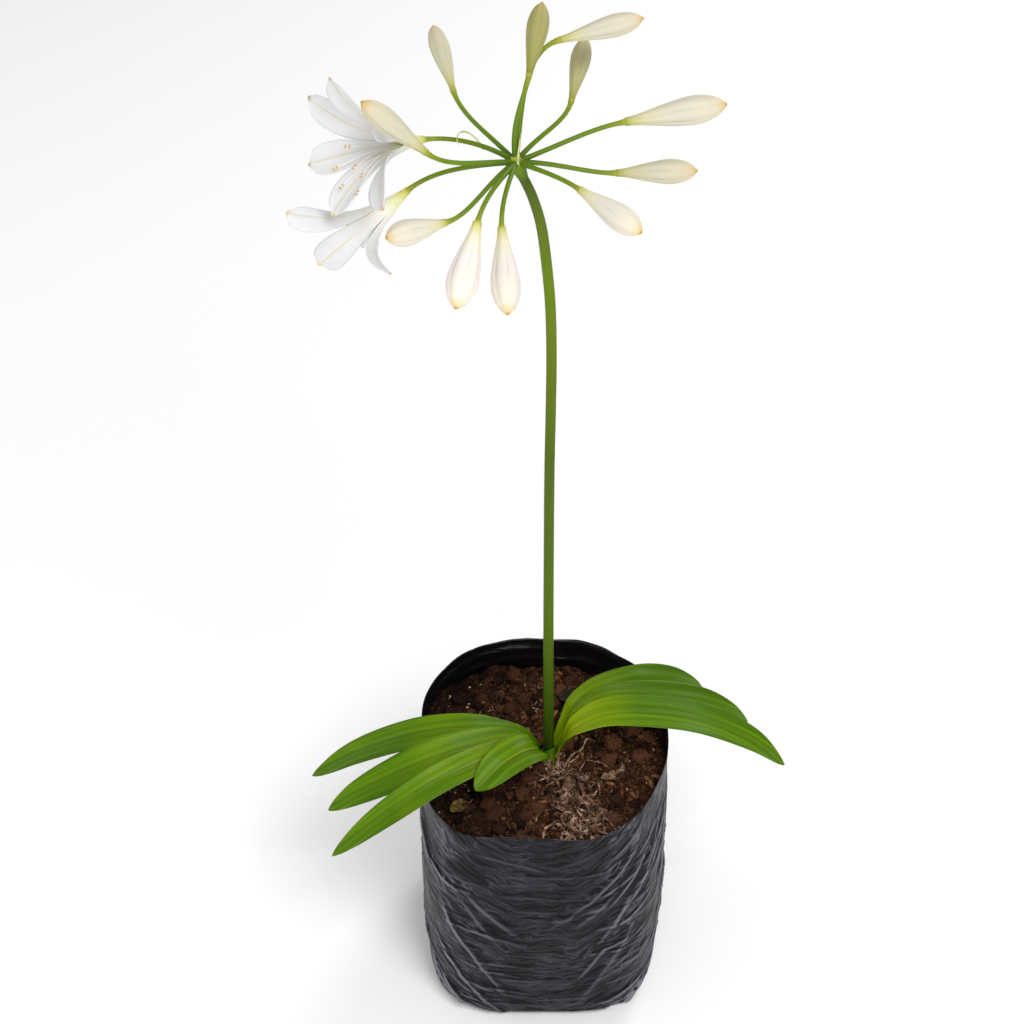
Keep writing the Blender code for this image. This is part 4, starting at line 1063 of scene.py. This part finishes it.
# What is left of the bract that once held the head closed: a dried thread that hangs curled over
# one stalk and a pale papery stub that still stands between the stalks.
THREAD_SPOTS = ((3.6, -2.2), (1.8, 0.2), (0, 2.6), (-2.6, 4.4), (-5.2, 4.9), (-6.8, 3.7), (-7.2, 1.4),
                (-6.4, -0.4))
THREAD_STEPS = 24
STUB_STEPS = 12
# The thread curls in the plane that leans back by 45 degrees, from a point on flower 1's stalk.
leaning = Vector((0, 0.7, 0.71))
hook = stalk_paths[len(BUDS)][0][10]
thread = smooth_line([hook + (Vector((x, 0, 0)) + leaning * y) * MM for x, y in THREAD_SPOTS],
                     THREAD_STEPS)
stub = smooth_line([HUB + Vector((0.6, -2.6, 0.5)) * MM, HUB + Vector((1.2, 1.4, 6.5)) * MM,
                    HUB + Vector((1.9, 2.8, 11.5)) * MM], STUB_STEPS)
bract_paths = [(thread, [0.55 * MM * (1 - 0.6 * k / THREAD_STEPS) for k in range(THREAD_STEPS + 1)]),
               (stub, [0.7 * MM * (1 - 0.8 * k / STUB_STEPS) for k in range(STUB_STEPS + 1)])]

# Dry papery bract: pale straw with green left in it at the foot.
papery, tree, shader = finish("dry_papery_bract", 0.75, Specular_IOR_Level=0.2)
place = where(tree)
coat(tree, shader, ramped(tree, speckle(tree, place, 1.5 * MM, 4.0, 0.6),
                          ((0.35, "#8f9a4e"), (0.5, "#c4c38a"), (0.65, "#dcd6b4"))))
bracts = stand("dry_bract_shreds", tubes_along("dry_bract_shreds", bract_paths, 6, papery))
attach(bracts, "root")

# The closed buds: six petals folded into a club, narrow at the stalk and pinched to a blunt tip,
# with a groove wherever two petals meet.
BUD_SHAPE = ((0, 0.29), (0.1, 0.36), (0.25, 0.56), (0.4, 0.77), (0.55, 0.94), (0.68, 1.0), (0.81, 0.88),
             (0.92, 0.57), (1, 0.08))
BUD_ROWS = 44
BUD_COLUMNS = 48

# Folded petals: cream white and satin, green-yellow at the foot and amber at the very tip. Each bud is mixed
# towards a darker green by its own amount: the youngest buds are still greenish all over, and the buds that
# lie in shade get painted shade from the same mix.
bud_skin, tree, shader = finish("folded_white_petals", 0.5, Specular_IOR_Level=0.3, Subsurface_Weight=0.12,
                                Subsurface_Scale=1.2 * MM, Subsurface_Radius=(1.0, 0.9, 0.75))
along = kept(tree, "along")
# partly the bud's youth, partly painted shade on the buds that lie in shade
young = kept(tree, "young")
ridge = kept(tree, "ridge")
ripe = ramped(tree, along, ((0.0, "#b1b03c"), (0.06, "#d3cf85"), (0.18, "#ebe4c6"), (0.45, "#eae5df"),
                            (0.9, "#e9e0d2"), (0.975, "#e5cf9c"), (1.0, "#c4913a")))
unripe = ramped(tree, along, ((0.0, "#7f8226"), (0.12, "#8f9040"), (0.4, "#9a9759"), (0.8, "#a19a60"),
                              (0.95, "#b49a50"), (1.0, "#a87622")))
body = mix(tree, young, ripe, unripe)
# darker where two petals meet: painted shade in the grooves
groove = remap(tree, ridge, 0.0, 0.35, 0.35, 0.0)
coat(tree, shader, mix(tree, groove, body, "#a8a274"))


def bud_mesh(stalk, length, width, young):
    """One closed bud, ribbed by its six petals."""
    path, aim = stalk_path(stalk)
    across = aim.orthogonal().normalized()
    other = aim.cross(across)
    rows = []
    marks = []
    ridges = []
    for k in range(BUD_ROWS + 1):
        t = k / BUD_ROWS
        radius = width / 2 * MM * eased(BUD_SHAPE, t)
        ring = []
        for j in range(BUD_COLUMNS):
            turn = 2 * math.pi * j / BUD_COLUMNS + 0.25 * t
            lobe = abs(math.cos(3 * turn)) ** 0.6
            r = radius * (0.87 + 0.15 * lobe)
            ring.append(path[-1] + aim * ((length + 0.6) * t - 0.25) * MM
                        + across * r * math.cos(turn) + other * r * math.sin(turn))
            marks.append(t)
            ridges.append(lobe)
        rows.append(ring)
    mesh = skin(rows)
    mark(mesh, along=marks, ridge=ridges, young=[young] * len(marks))
    return mesh


for number, bud in enumerate(BUDS, 1):
    closed = stand(f"closed_bud_{number:02d}", bud_mesh(*bud), bud_skin)
    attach(closed, "root")
    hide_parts(f"bud_{number:02d}")

# The open flowers: six petals joined in a short tube that part and curl outwards, each a soft
# trough either side of its midrib.
TUBE_PROFILE = ((0, 1.3), (4, 1.9), (8, 2.7), (12, 3.9))
TEPAL_BEND = (31, 7.5)
TEPAL_SHAPE = ((0.0, 2.2), (0.17, 2.8), (0.34, 4.1), (0.5, 5.3), (0.66, 6.2), (0.81, 6.2), (0.93, 4.5),
               (1.0, 0.5))
TUBE_ROWS = 10
TEPAL_ROWS = 30
TEPAL_COLUMNS = 14
TEPAL_FILM = 0.35 * MM


def tepal_point(base, aim, spot, edge, reach, spread, twist, t, offset, width):
    """A point of a petal at t along its curve and offset to one side of its midrib."""
    start = TUBE_PROFILE[-1]
    s, r = ((a * (1 - t) ** 2 + b * 2 * t * (1 - t) + c * t * t) * MM
            for a, b, c in zip(start, TEPAL_BEND, (reach, spread)))
    c = offset / width if width else 0.0
    curl = abs(offset) * 0.2 * abs(c) ** 0.5
    trough = 0.3 * MM * math.sin(math.pi * min(abs(c), 1.0)) * t - 0.3 * MM * math.exp(-(c / 0.1) ** 2)
    turn = math.radians(twist) * t
    across = edge * math.cos(turn) + aim * math.sin(turn)
    return base + aim * (s + curl - trough) + spot * (r - curl) + across * offset


def flower_mesh(stalk, tepals):
    """The tube and the six petals of one flower, as one thin sheet."""
    path, aim = stalk_path(stalk)
    base = path[-1] - aim * 0.3 * MM
    aside = Vector((0, 0, 1)).cross(aim).normalized()
    up = aim.cross(aside)
    turns = [math.radians(tepal[0]) for tepal in tepals]
    points = []
    faces = []
    along = []
    across_marks = []
    for k, (turn, reach, spread, twist) in enumerate(tepals):
        middle = turns[k]
        before = turns[k - 1] - (2 * math.pi if k == 0 else 0)
        after = turns[(k + 1) % 6] + (2 * math.pi if k == 5 else 0)
        seams = ((before + middle) / 2, (middle + after) / 2)
        spot = aside * math.cos(middle) + up * math.sin(middle)
        edge = aim.cross(spot)
        first = len(points)
        shares = [2 * c / TEPAL_COLUMNS - 1 for c in range(TEPAL_COLUMNS + 1)]
        for r in range(TUBE_ROWS):
            s = TUBE_PROFILE[-1][0] * r / TUBE_ROWS
            radius = eased([(a / 12, b) for a, b in TUBE_PROFILE], s / 12)
            for share in shares:
                angle = middle + (seams[0 if share < 0 else 1] - middle) * abs(share)
                out = aside * math.cos(angle) + up * math.sin(angle)
                points.append(base + (aim * s + out * radius) * MM)
                along.append(s / 12 * 0.3)
                across_marks.append(share)
        for r in range(TEPAL_ROWS + 1):
            t = r / TEPAL_ROWS
            flat = (tepal_point(base, aim, spot, edge, reach, spread, twist, t, 0, 0) - base).dot(spot)
            half = eased(TEPAL_SHAPE, t) * MM if t < 0.93 else blend(TEPAL_SHAPE, t) * MM
            for share in shares:
                seam = seams[0 if share < 0 else 1]
                room = abs(seam - middle) * 0.97 * flat
                width = min(half, room)
                wave = 0.5 * MM * share * share * math.sin(7 * t + 2 * k + 2 * share) * t
                angle = middle + (seam - middle) * abs(share)
                out = aside * math.cos(angle) + up * math.sin(angle)
                round_point = base + aim * 12 * MM + out * 3.9 * MM
                own = tepal_point(base, aim, spot, edge, reach, spread, twist, t, share * width, width)
                points.append(round_point.lerp(own + aim * wave, min(t / 0.12, 1.0)))
                along.append(0.3 + 0.7 * t)
                across_marks.append(share)
        count = TEPAL_COLUMNS + 1
        for r in range(TUBE_ROWS + TEPAL_ROWS):
            for c in range(TEPAL_COLUMNS):
                low = first + r * count + c
                faces.append((low, low + 1, low + count + 1, low + count))
    mesh = bpy.data.meshes.new("flower")
    mesh.from_pydata(points, [], faces)
    mark(mesh, along=along, across=across_marks)
    bm = bmesh.new()
    bm.from_mesh(mesh)
    bmesh.ops.remove_doubles(bm, verts=bm.verts, dist=0.03 * MM)
    bmesh.ops.recalc_face_normals(bm, faces=bm.faces)
    bm.to_mesh(mesh)
    bm.free()
    mesh.shade_smooth()
    return mesh


# Petal: white and thin enough for light to come through, with a pale yellow midrib, a yellow-green throat and
# a touch of amber at the tip. The cream of the throat is lighter than the rest of the petal, partly its own
# colour and partly painted light against the shade inside the tube.
petal, tree, shader = finish("thin_white_petal", 0.5, Specular_IOR_Level=0.3, Subsurface_Weight=0.45,
                             Subsurface_Scale=2 * MM, Subsurface_Radius=(1.0, 0.97, 0.94))
along = kept(tree, "along")
across = kept(tree, "across")
place = where(tree)
# the throat's cream, lighter than the petal beyond it: partly its own colour, partly painted light
body = ramped(tree, along, ((0.0, "#c6c04e"), (0.12, "#e0dc9c"), (0.3, "#e4e2d0"), (0.5, "#d4d3d3"),
                            (0.975, "#d2d2d4"), (1.0, "#d8c08c")))
rib = remap(tree, maths(tree, "ABSOLUTE", across), 0.02, 0.1, 0.6, 0.0)
rib = maths(tree, "MULTIPLY", rib, remap(tree, along, 0.4, 0.65))
coat(tree, shader, mix(tree, rib, body, "#c4bc7c"))
veins = speckle(tree, add(tree, "ShaderNodeCombineXYZ", {0: across, 1: along}), 0.09, 3.0, 0.5, (1, 0.12, 1))
bump(tree, shader, veins, 0.25, 0.2 * MM)

for number, (stalk, tepals, stamens, style) in enumerate(FLOWERS, 1):
    flower = stand(f"open_flower_{number}", flower_mesh(stalk, tepals), petal)
    wall = flower.modifiers.new("petal_thickness", "SOLIDIFY")
    wall.thickness = TEPAL_FILM
    wall.offset = 0.0
    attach(flower, "root")
    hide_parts(f"flower_{number}")

# The stamens: six white threads round a longer style, each with an amber anther that swings on
# its end.
filament, tree, shader = finish("stamen_thread", 0.5, Subsurface_Weight=0.2, Subsurface_Scale=1 * MM)
along = kept(tree, "along")
coat(tree, shader, ramped(tree, along, ((0.0, "#e2e2a0"), (0.5, "#f0eedd"), (1.0, "#f4f2ea"))))
pollen, tree, shader = finish("dusty_pollen", 0.9)
place = where(tree)
coat(tree, shader, ramped(tree, speckle(tree, place, 0.5 * MM, 3.0), ((0.35, "#b98424"), (0.6, "#ecbb58"))))

STAMEN_STEPS = 18
for number, (stalk, tepals, stamens, style) in enumerate(FLOWERS, 1):
    path, aim = stalk_path(stalk)
    base = path[-1] + aim * 0.7 * MM
    aside = Vector((0, 0, 1)).cross(aim).normalized()
    up = aim.cross(aside)
    threads = []
    anthers = []
    for turn, reach, spread in stamens + (style,):
        angle = math.radians(turn)
        spot = aside * math.cos(angle) + up * math.sin(angle)
        line = smooth_line([base + (aim * 3.5 + spot * 0.2) * MM,
                            base + (aim * 11 + spot * min(0.08 * spread, 1.6)) * MM,
                            base + (aim * (reach * 0.7) + spot * 0.42 * spread) * MM,
                            base + (aim * reach + spot * spread) * MM], STAMEN_STEPS)
        threads.append((line, [0.24 * MM * (1 - 0.4 * k / STAMEN_STEPS) for k in range(STAMEN_STEPS + 1)]))
        if (turn, reach, spread) != style:
            swing = (line[-1] - line[-2]).cross(aim + spot).normalized()
            for side in (-0.6, 0.6):
                middle = line[-1] + (spot * side + aim * side * 0.8) * MM
                ends = [middle + swing * s * MM for s in (-0.9, -0.6, 0, 0.6, 0.9)]
                anthers.append((ends, [r * MM for r in (0.1, 0.28, 0.34, 0.28, 0.1)]))
    threads.append(([base + aim * s * MM for s in (0, 1.5, 4, 6.5, 8)],
                    [r * MM for r in (0.4, 0.8, 0.95, 0.6, 0.2)]))
    pistil = stand(f"stamen_threads_{number}", tubes_along(f"stamen_threads_{number}", threads, 7, filament))
    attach(pistil, "root")
    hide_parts(f"flower_{number}_stamens")
    dusty = stand(f"anthers_{number}", tubes_along(f"anthers_{number}", anthers, 7, pollen))
    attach(dusty, "root")

# The studio: a pale floor, soft even light all round with a large soft lamp in front and above,
# and the camera of the photograph, which looks down on the plant.
floor_mesh = bpy.data.meshes.new("floor")
floor_mesh.from_pydata([(-4, -4, 0), (4, -4, 0), (4, 4, 0), (-4, 4, 0)], [], [(0, 1, 2, 3)])
paper, tree, shader = finish("pale_paper", 0.9, Specular_IOR_Level=0.1)
shader["Base Color"].default_value = linear("#ffffff")
floor = stand("floor", floor_mesh, paper)
floor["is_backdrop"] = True

world = bpy.data.worlds.new("studio_air")
world.use_nodes = True
world.node_tree.nodes["Background"].inputs["Color"].default_value = (1, 1, 1, 1)
world.node_tree.nodes["Background"].inputs["Strength"].default_value = 0.46
bpy.context.scene.world = world

# name, place, width, watts
LAMPS = (
    ("key_lamp", (0.5, -1.0, 2.0), 0.9, 24.0),
    ("front_lamp", (-0.2, -1.7, 0.5), 1.0, 9.0),
    ("left_lamp", (-1.6, 0.3, 0.9), 0.8, 4.0),
    ("back_lamp", (0.9, 1.4, 1.2), 0.8, 10.0),
)
for name, spot, size, power in LAMPS:
    lamp = bpy.data.lights.new(name, "AREA")
    lamp.shape = "DISK"
    lamp.size = size
    lamp.energy = power
    holder = bpy.data.objects.new(name, lamp)
    holder.location = spot
    holder.rotation_euler = (Vector((0, 0, 0.25)) - Vector(spot)).to_track_quat("-Z", "Y").to_euler()
    bpy.context.scene.collection.objects.link(holder)

SENSOR = 36
FOCAL_PIXELS = 2167
PICTURE_PIXELS = 1024
CAMERA_PLACE = (-0.0165, -0.724, 1.024)
CAMERA_DIP = 44
view = bpy.data.cameras.new("camera")
view.sensor_width = SENSOR
view.lens = FOCAL_PIXELS / PICTURE_PIXELS * SENSOR
camera = bpy.data.objects.new("camera", view)
camera.location = CAMERA_PLACE
camera.rotation_euler = (math.radians(90 - CAMERA_DIP), 0, 0)
bpy.context.scene.collection.objects.link(camera)
bpy.context.scene.camera = camera
bpy.context.scene.view_settings.view_transform = "Standard"

sizes = {"cad": [list(corner) for corner in cad_box], "visual": [list(corner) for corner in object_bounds()]}
